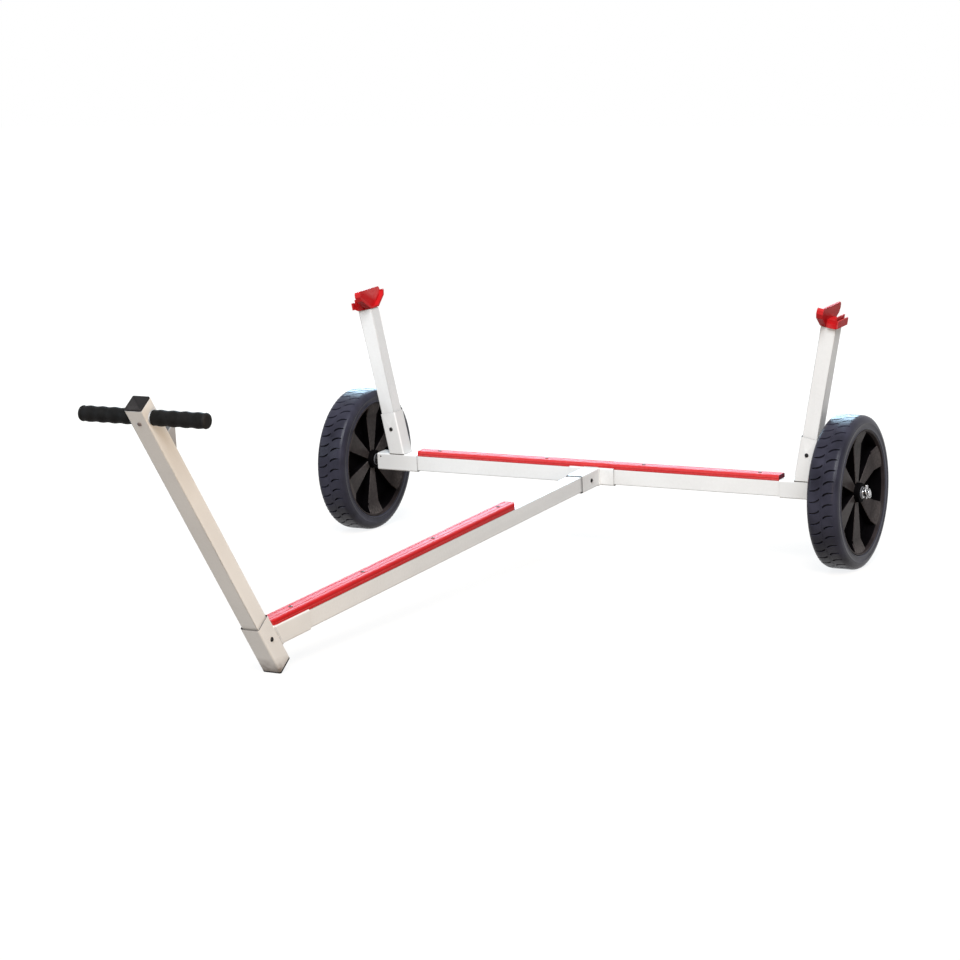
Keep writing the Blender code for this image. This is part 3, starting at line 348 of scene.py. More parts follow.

# %% [markdown]
# A small helper wires a finish: a base colour that drifts between two tones, a roughness that drifts with
# it or follows the drawing lines, lighter or darker rubbed edges, which on the tyres and the wheel centres
# are a painted glint, a colour that is darker towards the ground, and a bump of a scale and a height. The
# numbers that are the same all over go on the shader.

# %% Building a finish


def finish(name, tones, roughness, metallic=0.0, cloud_scale=20.0, rub=None, bump=(400.0, 0.0001),
           lines=False, grime=None, specular=0.5):
    material = bpy.data.materials.new(name)
    material.use_nodes = True
    tree = material.node_tree
    shader = tree.nodes["Principled BSDF"]
    dial(shader, "Metallic", metallic)
    dial(shader, "Specular IOR Level", specular)
    cloud = add_node(tree, "ShaderNodeGroup", node_tree=clouding)
    dial(cloud, "Scale", cloud_scale)
    drift = add_node(tree, "ShaderNodeMapRange")
    dial(drift, "From Min", 0.30)
    dial(drift, "From Max", 0.70)
    wire(tree, cloud, "Value", drift, "Value")
    tone = add_node(tree, "ShaderNodeMix", data_type="RGBA")
    dial(tone, "A", (*tones[0], 1))
    dial(tone, "B", (*tones[1], 1))
    wire(tree, drift, "Result", tone, "Factor")
    colour = tone.outputs["Result"]
    # rubbed edges: wear on most finishes, a painted glint on the tyres and the wheel centres
    if rub:
        wear_and_glint_mask = add_node(tree, "ShaderNodeGroup", node_tree=edge_wear)
        rub_and_glint_mix = add_node(tree, "ShaderNodeMix", data_type="RGBA")
        dial(rub_and_glint_mix, "B", (*rub, 1))
        wire(tree, wear_and_glint_mask, "Mask", rub_and_glint_mix, "Factor")
        tree.links.new(colour, rub_and_glint_mix.inputs["A"])
        colour = rub_and_glint_mix.outputs["Result"]
    if grime:
        low = add_node(tree, "ShaderNodeGroup", node_tree=ground_grime)
        near_ground_mix = add_node(tree, "ShaderNodeMix", data_type="RGBA")
        dial(near_ground_mix, "B", (*grime, 1))
        wire(tree, low, "Mask", near_ground_mix, "Factor")
        tree.links.new(colour, near_ground_mix.inputs["A"])
        colour = near_ground_mix.outputs["Result"]
    tree.links.new(colour, shader.inputs["Base Color"])
    rough = add_node(tree, "ShaderNodeMapRange")
    dial(rough, "To Min", roughness[0])
    dial(rough, "To Max", roughness[1])
    relief = add_node(tree, "ShaderNodeBump")
    dial(relief, "Distance", bump[1])
    if lines:
        source = add_node(tree, "ShaderNodeGroup", node_tree=drawn_lines)
        wire(tree, source, "Value", rough, "Value")
    else:
        source = add_node(tree, "ShaderNodeGroup", node_tree=clouding)
        dial(source, "Scale", bump[0])
        wire(tree, cloud, "Value", rough, "Value")
    wire(tree, rough, "Result", shader, "Roughness")
    wire(tree, source, "Value", relief, "Height")
    wire(tree, relief, "Normal", shader, "Normal")
    return material


print("finish ready")

# %% [markdown]
# The finishes are pale satin aluminium, glossy red strips and supports, black plastic and rubber, and bright
# stainless pins. The tyre rubber has a painted bluish sheen in its tones and painted glints on its edges.
# Edges of the red plastic are rubbed paler and edges of the grips dusty grey; the wheel centres' pale edges
# are a painted highlight. The screw heads are painted dark with shade. Three darker finishes, for the sawn
# ends and seams of the sleeves, the sawn ends of the axle strip and the deep recesses of the wheels, go in a
# second
# slot of a piece: painted shade on the faces where shade collects.

# %% The finishes
aluminium = finish("anodised_aluminium_finish", ((0.68, 0.675, 0.67), (0.73, 0.725, 0.72)), (0.38, 0.52),
                   metallic=0.14, cloud_scale=9.0, rub=(0.83, 0.83, 0.83), bump=(400.0, 0.00004), lines=True,
                   grime=(0.16, 0.13, 0.11))
weld_metal = finish("weld_metal", ((0.50, 0.49, 0.48), (0.66, 0.65, 0.64)), (0.35, 0.55), metallic=0.6,
                    cloud_scale=120.0, bump=(900.0, 0.00006))
# painted shade: near black for the sawn ends, seam grooves and pin holes of the fittings
painted_gap_shade = finish("sawn_end_finish", ((0.030, 0.026, 0.024), (0.07, 0.062, 0.058)), (0.6, 0.8),
                  cloud_scale=200.0, bump=(900.0, 0.00008), specular=0.10)
stainless = finish("stainless_steel_finish", ((0.36, 0.36, 0.37), (0.52, 0.52, 0.53)), (0.16, 0.30),
                   metallic=1.0, cloud_scale=60.0, bump=(700.0, 0.00002))
spring_steel = finish("spring_steel_finish", ((0.28, 0.28, 0.30), (0.36, 0.36, 0.38)), (0.30, 0.45),
                      metallic=1.0)
grey_sheet = finish("grey_sheet_metal_finish", ((0.26, 0.255, 0.26), (0.32, 0.31, 0.31)), (0.42, 0.58),
                    metallic=0.5, cloud_scale=40.0, rub=(0.55, 0.55, 0.55))
red_plastic = finish("red_plastic_finish", ((0.44, 0.009, 0.011), (0.51, 0.014, 0.017)), (0.36, 0.52),
                     cloud_scale=28.0, rub=(0.66, 0.13, 0.13), bump=(350.0, 0.00006), specular=0.06)
black_plastic = finish("black_plastic_finish", ((0.007, 0.0065, 0.007), (0.015, 0.0135, 0.0138)),
                       (0.32, 0.50), cloud_scale=30.0, rub=(0.05, 0.045, 0.045), bump=(600.0, 0.00005),
                       specular=0.10)
grip_rubber = finish("black_grip_rubber_finish", ((0.005, 0.005, 0.005), (0.011, 0.0105, 0.0105)),
                     (0.46, 0.66), cloud_scale=60.0, rub=(0.045, 0.045, 0.045), bump=(900.0, 0.00010),
                     specular=0.06)
# painted sheen and glints: the bluish tint of the tones and the bluish, paler rubbed edges
tyre_rubber = finish("tyre_rubber_finish", ((0.0140, 0.0134, 0.0210), (0.0370, 0.0360, 0.0540)), (0.24, 0.38),
                     cloud_scale=18.0, rub=(0.085, 0.095, 0.15), bump=(700.0, 0.00012), specular=0.11)
bush_nylon = finish("bush_nylon_finish", ((0.09, 0.09, 0.10), (0.12, 0.12, 0.13)), (0.40, 0.55))
# the paler rubbed edges of this finish are a painted highlight along the spoke edges
wheel_plastic = finish("wheel_plastic_finish", ((0.012, 0.0092, 0.0096), (0.030, 0.0232, 0.024)),
                       (0.26, 0.44), cloud_scale=26.0, rub=(0.16, 0.14, 0.135), bump=(500.0, 0.00008),
                       specular=0.03)
# painted shade: a darker red for the sawn end faces of the axle strip
painted_red_end_shade = finish("sawn_red_finish", ((0.045, 0.004, 0.010), (0.10, 0.008, 0.018)), (0.5, 0.7),
                  cloud_scale=300.0, bump=(900.0, 0.00008), specular=0.05)
# painted shade: near black for the hub, the pockets and the inside of the rim
painted_wheel_recess_shade = finish("wheel_recess_finish", ((0.0012, 0.0010, 0.0012), (0.0030, 0.0025, 0.0030)), (0.5, 0.7),
                      cloud_scale=26.0, bump=(500.0, 0.00008), specular=0.01)
# painted shade: the dark reddish tone of the screw heads
painted_screw_shade = finish("dull_screw_finish", ((0.10, 0.075, 0.07), (0.17, 0.13, 0.12)), (0.35, 0.55),
                    metallic=0.7, cloud_scale=300.0, bump=(900.0, 0.00004))
SLOTS = (aluminium, stainless, spring_steel, grey_sheet, red_plastic, black_plastic, grip_rubber, tyre_rubber,
         bush_nylon)
FINISHES = {material.name.removesuffix("_finish"): material for material in SLOTS}
SLOT_OF = {material.name: slot for slot, material in FINISHES.items()}
SLOT_OF["wheel_plastic_finish"] = "black_plastic"
SLOT_OF["dull_screw_finish"] = "stainless_steel"
for node in frame["nodes"].values():
    for place in node.material_slots:
        place.material = FINISHES[place.material.name.split(".")[0]]
print("finishes", sorted(FINISHES))

# %% [markdown]
# ## Square tube
# The beam, the keel tube, the post and the uprights are the same drawn tube. A cube is stretched to length,
# its ends are inset by the wall and bridged into a bore, and the long edges are bevelled, as the die rounds
# them. A last small bevel breaks the sawn ends.

# %% Tube and bar helpers
EDGE_BREAK = 0.0003
CORNER_SEGMENTS = 6


def bevel_long_edges(offset, segments, outer, half):
    pick("edges", lambda edge: runs_along(edge, 2) and (abs(edge.verts[0].co.x) > half - 1e-5) == outer)
    bpy.ops.mesh.bevel(offset=offset, segments=segments, affect="EDGES")
    select_none()


def square_bar(name, side, corner, length):
    bpy.ops.mesh.primitive_cube_add(size=1)
    bar = named(name)
    bar.scale = (side, side, length)
    bpy.ops.object.transform_apply(scale=True)
    edit(bar, "EDGE")
    bevel_long_edges(corner, CORNER_SEGMENTS, True, side / 2)
    leave()
    return bar


def square_tube(name, length):
    bpy.ops.mesh.primitive_cube_add(size=1)
    tube = named(name)
    tube.scale = (TUBE, TUBE, length)
    bpy.ops.object.transform_apply(scale=True)
    edit(tube)
    pick("faces", lambda face: abs(face.normal.z) > 0.99)
    bpy.ops.mesh.inset(thickness=WALL, use_individual=True)
    bpy.ops.mesh.bridge_edge_loops()
    bpy.ops.mesh.select_mode(type="EDGE")
    select_none()
    bevel_long_edges(CORNER, CORNER_SEGMENTS, True, TUBE / 2)
    bevel_long_edges(INSIDE_CORNER, 2, False, TUBE / 2)
    leave()
    return tube


def boolean(piece, other, operation):
    modifier = piece.modifiers.new("Join", "BOOLEAN")
    modifier.operation = operation
    modifier.solver = "EXACT"
    modifier.object = other
    apply_modifier(piece, modifier)
    bpy.data.objects.remove(other)
    return piece


def put(piece, placement):
    piece.matrix_world = placement
    only(piece)
    bpy.ops.object.transform_apply(location=True, rotation=True, scale=True)
    return piece


def drill(piece, radius, placement, depth=0.014):
    bpy.ops.mesh.primitive_cylinder_add(radius=radius, depth=depth, vertices=32)
    boolean(piece, put(named("drill"), placement), "DIFFERENCE")


def box_bar(name, size, placement):
    bpy.ops.mesh.primitive_cube_add(size=1)
    return put(named(name), placement @ Matrix.Diagonal((*size, 1)))


print("tube helpers ready")

# %% [markdown]
# The keel tube, the post and the uprights are drilled where their snap buttons come through, and the post
# also where the hand bar crosses it. The lengths leave a small gap inside each fitting.

# %% The five tubes
BUTTON_RADIUS = 0.0045
HOLE = BUTTON_RADIUS + FIT
BEAM_LENGTH = 1.0906
KEEL_REAR = -0.0216
KEEL_FRONT = -1.3659
POST_BOTTOM = -0.0559
POST_END = 0.5947
HANDLE_HEIGHT = 0.565
HANDLE_RADIUS = 0.011
UPRIGHT_TOP = 0.369
UPRIGHT_BOTTOM = 0.0246
UPRIGHT_BUTTON = 0.081
TEE_BUTTON = -0.061
POST_BUTTON = -0.0015


def finish_tube(tube, placement, node):
    rounded(tube, EDGE_BREAK, 1, 60)
    settle(tube, placement, aluminium, replaces=[node])


finish_tube(square_tube("beam_extrusion", BEAM_LENGTH), CHASSIS @ ALONG_X, "axle_beam")

keel = square_tube("keel_extrusion", KEEL_REAR - KEEL_FRONT)
drill(keel, HOLE, at(TUBE / 2, 0, (KEEL_REAR + KEEL_FRONT) / 2 - TEE_BUTTON) @ ALONG_X)
finish_tube(keel, CHASSIS @ at(0, (KEEL_REAR + KEEL_FRONT) / 2) @ ALONG_Y, "keel_tube")

post = square_tube("post_extrusion", POST_END - POST_BOTTOM)
post_middle = (POST_END + POST_BOTTOM) / 2
drill(post, HANDLE_RADIUS + FIT, at(0, 0, HANDLE_HEIGHT - post_middle) @ ALONG_X, 2 * TUBE)
drill(post, HOLE, at(TUBE / 2, 0, POST_BUTTON - post_middle) @ ALONG_X)
finish_tube(post, POST @ at(0, 0, post_middle), "post_tube")

for name, side in SIDES:
    upright = square_tube(f"{name}_upright_extrusion", UPRIGHT_TOP - UPRIGHT_BOTTOM)
    middle = (UPRIGHT_TOP + UPRIGHT_BOTTOM) / 2
    drill(upright, HOLE, at(0, -TUBE / 2, UPRIGHT_BUTTON - middle) @ ALONG_Y)
    finish_tube(upright, upright_frame(side) @ at(0, 0, middle), f"{name}_upright")
print("tubes drawn")

# %% [markdown]
# ## Welded fittings
# A T joins keel tube and beam, a foot joins keel tube and post, and a bracket at each beam end holds an
# upright and an axle. Each is two lengths of larger tube, welded, that slide over the 35 mm tube. Two bars
# are joined with a Boolean and then bored out. Each open end is relieved a little wider than the bore, and
# its sawn faces and the gap inside are painted near black, as painted shade in the gap.

# %% The T fitting
TEE_HALF = 0.0555
TEE_REACH = 0.107
PAST = 0.01
MOUTH_BREAK = 0.0002
MOUTH_RELIEF = 0.0015
MOUTH_DEPTH = 0.0040


def sleeve_bar(length, placement):
    return put(square_bar("sleeve", SLEEVE, SLEEVE_CORNER, length), placement)


def bore(piece, length, placement):
    boolean(piece, put(square_bar("bore", SLEEVE_BORE, BORE_CORNER, length), placement), "DIFFERENCE")


def open_mouths(piece, mouths):
    for mouth in mouths:
        relief = square_bar("mouth", SLEEVE_BORE + 2 * MOUTH_RELIEF, BORE_CORNER, 2 * MOUTH_DEPTH)
        boolean(piece, put(relief, mouth), "DIFFERENCE")


def paint_mouth_shade(piece, mouths):
    """Paint shade, near black, on the sawn ends of the sleeves and in the gap inside them."""
    piece.data.materials.append(painted_gap_shade)
    for face in piece.data.polygons:
        for mouth in mouths:
            along = mouth.col[2].to_3d().normalized()
            out = face.center - mouth.translation
            across = out - along * out.dot(along)
            if out.length < SLEEVE and abs(out.dot(along)) < MOUTH_DEPTH + NEAR:
                if abs(face.normal.dot(along)) > 0.5 or face.normal.dot(across) < 0:
                    face.material_index = 1


def dress_fitting(piece, placement, mouths, node):
    rounded(piece, MOUTH_BREAK, 2, 60)
    settle(piece, placement, aluminium, replaces=[node])
    paint_mouth_shade(piece, [placement @ mouth for mouth in mouths])
    print(node, len(piece.data.polygons), "faces")


tee = sleeve_bar(2 * TEE_HALF, ALONG_X)
tee.name = "tee_weldment"
boolean(tee, sleeve_bar(TEE_REACH, at(0, -TEE_REACH / 2) @ ALONG_Y), "UNION")
bore(tee, 2 * TEE_HALF + PAST, ALONG_X)
bore(tee, TEE_REACH, at(0, -SLEEVE / 2 - TEE_REACH / 2) @ ALONG_Y)
tee_mouths = (at(-TEE_HALF) @ ALONG_X, at(TEE_HALF) @ ALONG_X, at(0, -TEE_REACH) @ ALONG_Y)
open_mouths(tee, tee_mouths)
drill(tee, HOLE, at(SLEEVE / 2, TEE_BUTTON) @ ALONG_X, PAST)
dress_fitting(tee, CHASSIS, tee_mouths, "tee_fitting")

# %% [markdown]
# The foot is a short upright sleeve that leans with the post, with an arm that runs back along the keel tube.
# The arm is cut off inside the sleeve by the sleeve's own bore.

# %% The foot fitting
FOOT_TOP = 0.043
FOOT_BOTTOM = -0.0711
FOOT_REACH = 0.134
LEAN = Matrix.Rotation(POST_LEAN, 4, "X")
FOOT_ARM_BORE_END = 0.0211

foot = sleeve_bar(FOOT_TOP - FOOT_BOTTOM, LEAN @ at(0, 0, (FOOT_TOP + FOOT_BOTTOM) / 2))
foot.name = "foot_weldment"
boolean(foot, sleeve_bar(FOOT_REACH, at(0, FOOT_REACH / 2) @ ALONG_Y), "UNION")
bore(foot, 3 * FOOT_REACH, LEAN)
bore_length = FOOT_REACH + PAST - FOOT_ARM_BORE_END
bore(foot, bore_length, at(0, FOOT_ARM_BORE_END + bore_length / 2) @ ALONG_Y)
foot_mouths = (LEAN @ at(0, 0, FOOT_TOP), at(0, FOOT_REACH) @ ALONG_Y)
open_mouths(foot, foot_mouths)
drill(foot, HOLE, LEAN @ at(SLEEVE / 2, 0, POST_BUTTON) @ ALONG_X, PAST)
dress_fitting(foot, CHASSIS @ at(0, -KEEL_LENGTH), foot_mouths, "foot_fitting")

# %% [markdown]
# A bracket closes the beam's end with a thick wall, which the stub axle is welded through. The socket for
# the upright leans outboard. A shallow groove on the front and back faces marks where the two tubes meet,
# because that seam is left open there. Its inside and the small hole in the front face are painted dark, as
# painted shade.

# %% The wheel brackets
BRACKET_MOUTH = 0.4576
BRACKET_END = 0.5648
BRACKET_WALL = 0.018
SOCKET_TOP = 0.120
SOCKET_FLOOR = 0.0242
AXLE_RADIUS = 0.008
SEAM_WIDTH = 0.0022
SEAM_DEPTH = 0.0050
SEAM_SHIFT = 0.004
PIN_HOLE = 0.0018
PIN_HEIGHT = 0.0125
PIN_DEPTH = 0.005

for name, side in SIDES:
    length = BRACKET_END - BRACKET_MOUTH
    lean = at(side * UPRIGHT_SPREAD) @ Matrix.Rotation(side * UPRIGHT_LEAN, 4, "Y")
    bracket = sleeve_bar(length, at(side * (BRACKET_MOUTH + BRACKET_END) / 2) @ ALONG_X)
    bracket.name = f"{name}_bracket_weldment"
    boolean(bracket, sleeve_bar(SOCKET_TOP, lean @ at(0, 0, SOCKET_TOP / 2)), "UNION")
    bore_end = BRACKET_END - BRACKET_WALL
    bore_start = BRACKET_MOUTH - PAST
    bore(bracket, bore_end - bore_start, at(side * (bore_end + bore_start) / 2) @ ALONG_X)
    bore(bracket, SOCKET_TOP, lean @ at(0, 0, SOCKET_FLOOR + SOCKET_TOP / 2))
    bracket_mouths = (at(side * BRACKET_MOUTH) @ ALONG_X, lean @ at(0, 0, SOCKET_TOP))
    open_mouths(bracket, bracket_mouths)
    drill(bracket, AXLE_RADIUS + FIT, at(side * BRACKET_END) @ ALONG_X, 3 * BRACKET_WALL)
    drill(bracket, HOLE, lean @ at(0, -SLEEVE / 2, UPRIGHT_BUTTON) @ ALONG_Y, PAST)
    pin_place = at(side * (BRACKET_END - BRACKET_WALL / 2), -SLEEVE / 2, PIN_HEIGHT)
    drill(bracket, PIN_HOLE, pin_place @ ALONG_Y, 0.008)
    for face in (-1, 1):
        seam = at(side * (UPRIGHT_SPREAD + SEAM_SHIFT), face * SLEEVE / 2, SLEEVE / 2)
        boolean(bracket, box_bar("groove", (SLEEVE, 2 * SEAM_DEPTH, SEAM_WIDTH), seam), "DIFFERENCE")
    dress_fitting(bracket, CHASSIS, bracket_mouths, f"{name}_bracket")
    # painted shade in the seam grooves and in the small pin hole
    for face in bracket.data.polygons:
        spot = CHASSIS.inverted() @ face.center
        on_seam = abs(abs(spot.z - SLEEVE / 2) - SEAM_WIDTH / 2) < NEAR and abs(face.normal.z) > 0.9
        from_pin = math.hypot(spot.x - pin_place.translation.x, spot.z - pin_place.translation.z)
        in_pin = from_pin < PIN_HOLE + NEAR / 2 and spot.y < -SLEEVE / 2 + PIN_DEPTH
        if in_pin or (on_seam and abs(spot.y) > SLEEVE / 2 - SEAM_DEPTH):
            face.material_index = 1
print("brackets welded")

# %% [markdown]
# A hand-laid weld looks like a row of small coins pushed over. One ripple is modelled from a cylinder, an
# Array repeats it, and a Curve modifier bends the row round the seam. Both modifiers are then applied.

# %% Weld beads
BEAD = 0.0021
RIPPLE = 0.0016
RIPPLE_TAPER = 0.80
WELD_PROUD = 0.0004


def weld_bead(name, points, placement, cyclic=True):
    path_data = bpy.data.curves.new("seam_path", "CURVE")
    path_data.dimensions = "2D"
    spline = path_data.splines.new("POLY")
    spline.points.add(len(points) - 1)
    for point, (x, y) in zip(spline.points, points):
        point.co = (x, y, 0, 1)
    spline.use_cyclic_u = cyclic
    path = bpy.data.objects.new("seam_path", path_data)
    bpy.context.scene.collection.objects.link(path)
    run = sum((Vector(a) - Vector(b)).length for a, b in zip(points, points[1:] + points[:1][:cyclic]))
    bpy.ops.mesh.primitive_cylinder_add(radius=BEAD, depth=RIPPLE, vertices=12, end_fill_type="NOTHING")
    bead = named(name)
    put(bead, at(RIPPLE / 2) @ ALONG_X)
    edit(bead, "VERT")
    pick("verts", lambda vertex: vertex.co.x < RIPPLE / 2)
    bpy.ops.transform.resize(value=(1, RIPPLE_TAPER, RIPPLE_TAPER), center_override=(0, 0, 0))
    select_every()
    bpy.ops.mesh.subdivide(number_cuts=1, smoothness=0)
    leave()
    row = bead.modifiers.new("Row", "ARRAY")
    row.fit_type = "FIXED_COUNT"
    row.count = max(2, round(run / RIPPLE))
    row.use_merge_vertices = True
    row.merge_threshold = 0.00002
    row.use_relative_offset = True
    row.relative_offset_displace = (1, 0, 0)
    apply_modifier(bead, row)
    bend = bead.modifiers.new("Bend", "CURVE")
    bend.object = path
    bend.deform_axis = "POS_X"
    apply_modifier(bead, bend)
    bpy.data.objects.remove(path)
    edit(bead, "EDGE")
    select_every()
    bpy.ops.mesh.remove_doubles(threshold=0.0001)
    select_none()
    bpy.ops.mesh.select_non_manifold()
    bpy.ops.mesh.fill_holes(sides=0)
    close_outwards()
    return settle(bead, placement, weld_metal, slot="anodised_aluminium", smooth=math.radians(50))


def rounded_outline(width, height, corner, steps=5):
    outline = []
    for across, up, start in ((1, 1, 0), (-1, 1, 90), (-1, -1, 180), (1, -1, 270)):
        for step in range(steps + 1):
            angle = math.radians(start + 90 * step / steps)
            outline.append((across * (width / 2 - corner) + corner * math.cos(angle),
                            up * (height / 2 - corner) + corner * math.sin(angle)))
    return outline


tee_seam = rounded_outline(SLEEVE, SLEEVE, SLEEVE_CORNER)
weld_bead("tee_weld", tee_seam, CHASSIS @ at(0, -SLEEVE / 2 - WELD_PROUD) @ ALONG_Y)
slant = SLEEVE / math.cos(POST_LEAN)
foot_seam = rounded_outline(SLEEVE, slant, SLEEVE_CORNER)
foot_drop = -SLEEVE / 2 * math.tan(POST_LEAN)
weld_bead("foot_weld", foot_seam, POST @ at(0, SLEEVE / 2 + WELD_PROUD, foot_drop) @ ALONG_Y)
for name, side in SIDES:
    for end_name, end in (("outer", 1), ("inner", -1)):
        x = side * UPRIGHT_SPREAD + end * SLEEVE / 2 / math.cos(UPRIGHT_LEAN)
        x += side * SLEEVE / 2 * math.tan(UPRIGHT_LEAN)
        half = SLEEVE / 2 - SLEEVE_CORNER
        seam = [(-half, 0.0), (-half / 2, 0.0), (0.0, 0.0), (half / 2, 0.0), (half, 0.0)]
        place = CHASSIS @ at(x, 0, SLEEVE / 2) @ turn(90, "Z")
        weld_bead(f"{name}_{end_name}_socket_weld", seam, place, False)
print("welds laid")

# %% [markdown]
# ## Turned and moulded pieces
# Three more helpers. `lathe` turns a ring of (radius, height) points about Z, as a lathe or a round mould
# would. `outline_bar` fills an outline and pulls it to a length, as an extruder or a saw would. `arc` gives
# the points of a rounded corner.

# %% Turning and extruding


def lathe(name, profile, steps=48):
    bpy.ops.mesh.primitive_circle_add(vertices=len(profile), radius=1)
    piece = named(name)
    for vertex, (radius, height) in zip(piece.data.vertices, profile):
        vertex.co = (radius, 0, height)
    edit(piece, "VERT")
    select_every()
    bpy.ops.mesh.spin(steps=steps, angle=2 * math.pi, center=(0, 0, 0), axis=(0, 0, 1))
    select_every()
    bpy.ops.mesh.remove_doubles(threshold=1e-6)
    select_every()
    bpy.ops.mesh.delete_loose()
    close_outwards()
    return piece


def outline_bar(name, outline, length):
    bpy.ops.mesh.primitive_circle_add(vertices=len(outline), radius=1, fill_type="NGON")
    piece = named(name)
    for vertex, (x, y) in zip(piece.data.vertices, outline):
        vertex.co = (x, y, -length / 2)
    edit(piece)
    select_every()
    bpy.ops.mesh.extrude_region_move(TRANSFORM_OT_translate={"value": (0, 0, length)})
    close_outwards()
    return piece


def arc(centre, radius, start, end, steps):
    turns = [math.radians(start + (end - start) * step / steps) for step in range(steps + 1)]
    return [(centre[0] + radius * math.cos(a), centre[1] + radius * math.sin(a)) for a in turns]


print("turning ready")

# %% [markdown]
# The guard strips are extruded plastic that the hull slides over. Their section has flat sides with a fine
# groove, rounded shoulders, and two shallow grooves on the flat top.

# %% Strip section
STRIP_WIDTH = 0.0352
STRIP_CORNER = 0.006
STRIP_BREAK = 0.0005
STRIP_HOLE = 0.0023
THROUGH = 0.06
GROOVE = 0.0009
STRIP_BASE = TUBE / 2 + FIT


def strip_section(height):
    half = STRIP_WIDTH / 2
    waist = height * 0.42
    right = [(half - 0.0006, 0), (half, 0.0006), (half, waist - GROOVE)]
    right += [(half - 0.3 * GROOVE, waist - 0.7 * GROOVE), (half - GROOVE, waist)]
    right += [(half - 0.4 * GROOVE, waist + 0.7 * GROOVE), (half - 0.1 * GROOVE, waist + GROOVE)]
    right += arc((half - STRIP_CORNER, height - STRIP_CORNER), STRIP_CORNER, 15, 90, 8)
    for share, drop in ((0.46, 0), (0.43, 0.45), (0.38, 0.8), (0.33, 0.45), (0.30, 0), (0.12, -0.1)):
        right.append((half * share, height - GROOVE * drop))
    return right + [(-x, y) for x, y in reversed(right)]


print("section points", len(strip_section(0.0145)))

# %% [markdown]
# The keel strip is rounded at its rear end, so that the bow does not catch, and is cut to the lean of the
# post at its front end. It steps over the foot's sleeve. Both ends are cut by intersecting it with a plan.

# %% Keel strip
KEEL_STRIP_HEIGHT = 0.0145
KEEL_STRIP_END = 0.421
NOSE_CORNER = 0.009
HEEL_CORNER = 0.013
HEEL_GAP = 0.0008
STEP_END = 0.1343
STEP_LENGTH = 0.3
KEEL_SCREWS = (0.470, 0.7528, 1.0306, 1.292)
SLEEVE_TOP = SLEEVE / 2 + FIT

length = KEEL_LENGTH - KEEL_STRIP_END
keel_strip = put(outline_bar("keel_strip_moulding", strip_section(KEEL_STRIP_HEIGHT), length),
                 at(0, -KEEL_LENGTH + length / 2, STRIP_BASE) @ ALONG_Y)
plan = rounded_outline(STRIP_WIDTH + 0.0001, 2 * length, NOSE_CORNER, 8)
cutter = put(outline_bar("plan", plan, 0.1), at(0, -KEEL_STRIP_END - length, STRIP_BASE))
boolean(keel_strip, cutter, "INTERSECT")
plan = rounded_outline(STRIP_WIDTH + 0.0002, 2 * length, HEEL_CORNER, 8)
heel = Matrix.Rotation(POST_LEAN, 4, "X") @ at(0, SLEEVE / 2 + HEEL_GAP + length)
boolean(keel_strip, put(outline_bar("plan", plan, 3 * length), at(0, -KEEL_LENGTH) @ heel), "INTERSECT")
step_middle = -KEEL_LENGTH + STEP_END - STEP_LENGTH / 2
relief = box_bar("relief", (0.1, STEP_LENGTH, 0.1), at(0, step_middle, SLEEVE_TOP - 0.05))
boolean(keel_strip, relief, "DIFFERENCE")
for place in KEEL_SCREWS:
    drill(keel_strip, STRIP_HOLE, at(0, -place, STRIP_BASE + KEEL_STRIP_HEIGHT), THROUGH)
rounded(keel_strip, STRIP_BREAK, 2, 50)
settle(keel_strip, CHASSIS, red_plastic, replaces=["keel_strip"])
print("keel strip", len(keel_strip.data.polygons), "faces")

# %% [markdown]
# The axle strip lies between the two brackets and steps over the T's sleeve. Its ends are sawn square, and
# the sawn faces are painted a darker red, as painted shade.

# %% Axle strip
AXLE_STRIP_HEIGHT = 0.0122
AXLE_SCREWS = (-0.405, -0.123, 0.123, 0.405)

half_length = BRACKET_MOUTH - 0.0012
axle_strip = put(outline_bar("axle_strip_moulding", strip_section(AXLE_STRIP_HEIGHT), 2 * half_length),
                 at(0, 0, STRIP_BASE) @ turn(90, "Z") @ ALONG_Y)
relief = box_bar("relief", (2 * TEE_HALF + 2 * FIT, 0.1, 0.1), at(0, 0, SLEEVE_TOP - 0.05))
boolean(axle_strip, relief, "DIFFERENCE")
for place in AXLE_SCREWS:
    drill(axle_strip, STRIP_HOLE, at(place, 0, STRIP_BASE + AXLE_STRIP_HEIGHT), THROUGH)
rounded(axle_strip, STRIP_BREAK, 2, 50)
settle(axle_strip, CHASSIS, red_plastic, replaces=["axle_strip"])
# the end faces take the painted shade
axle_strip.data.materials.append(painted_red_end_shade)
for face in axle_strip.data.polygons:
    if abs(face.normal.x) > 0.9 and abs(face.center.x) > half_length - 0.001:
        face.material_index = 1
print("axle strip", len(axle_strip.data.polygons), "faces")

# %% [markdown]
# Pan-head screws hold the strips and the hand bar. The head is turned with its shank, then a cross recess is
# sunk into it with two thin blades.

# %% Screws
SCREW_RADIUS = 0.002
SCREW_HEAD = 0.0042
SCREW_HEIGHT = 0.0016


def pan_screw(name, shank, placement, node):
    crown = [(0, SCREW_HEIGHT), (0.0017, 0.00155), (0.0030, 0.00130), (0.0038, 0.00085), (SCREW_HEAD, 0.0003)]
    profile = crown + [(SCREW_HEAD, 0), (SCREW_RADIUS, 0), (SCREW_RADIUS, -shank + 0.001)]
    profile += [(0.001, -shank), (0, -shank)]
    piece = lathe(name, profile, 24)
    for angle in (0, 90):
        blade = turn(45 + angle, "Z") @ at(0, 0, SCREW_HEIGHT)
        boolean(piece, box_bar("blade", (0.0044, 0.0008, 0.0018), blade), "DIFFERENCE")
    # the screw heads take the painted shade
    settle(piece, placement, painted_screw_shade, replaces=[node])


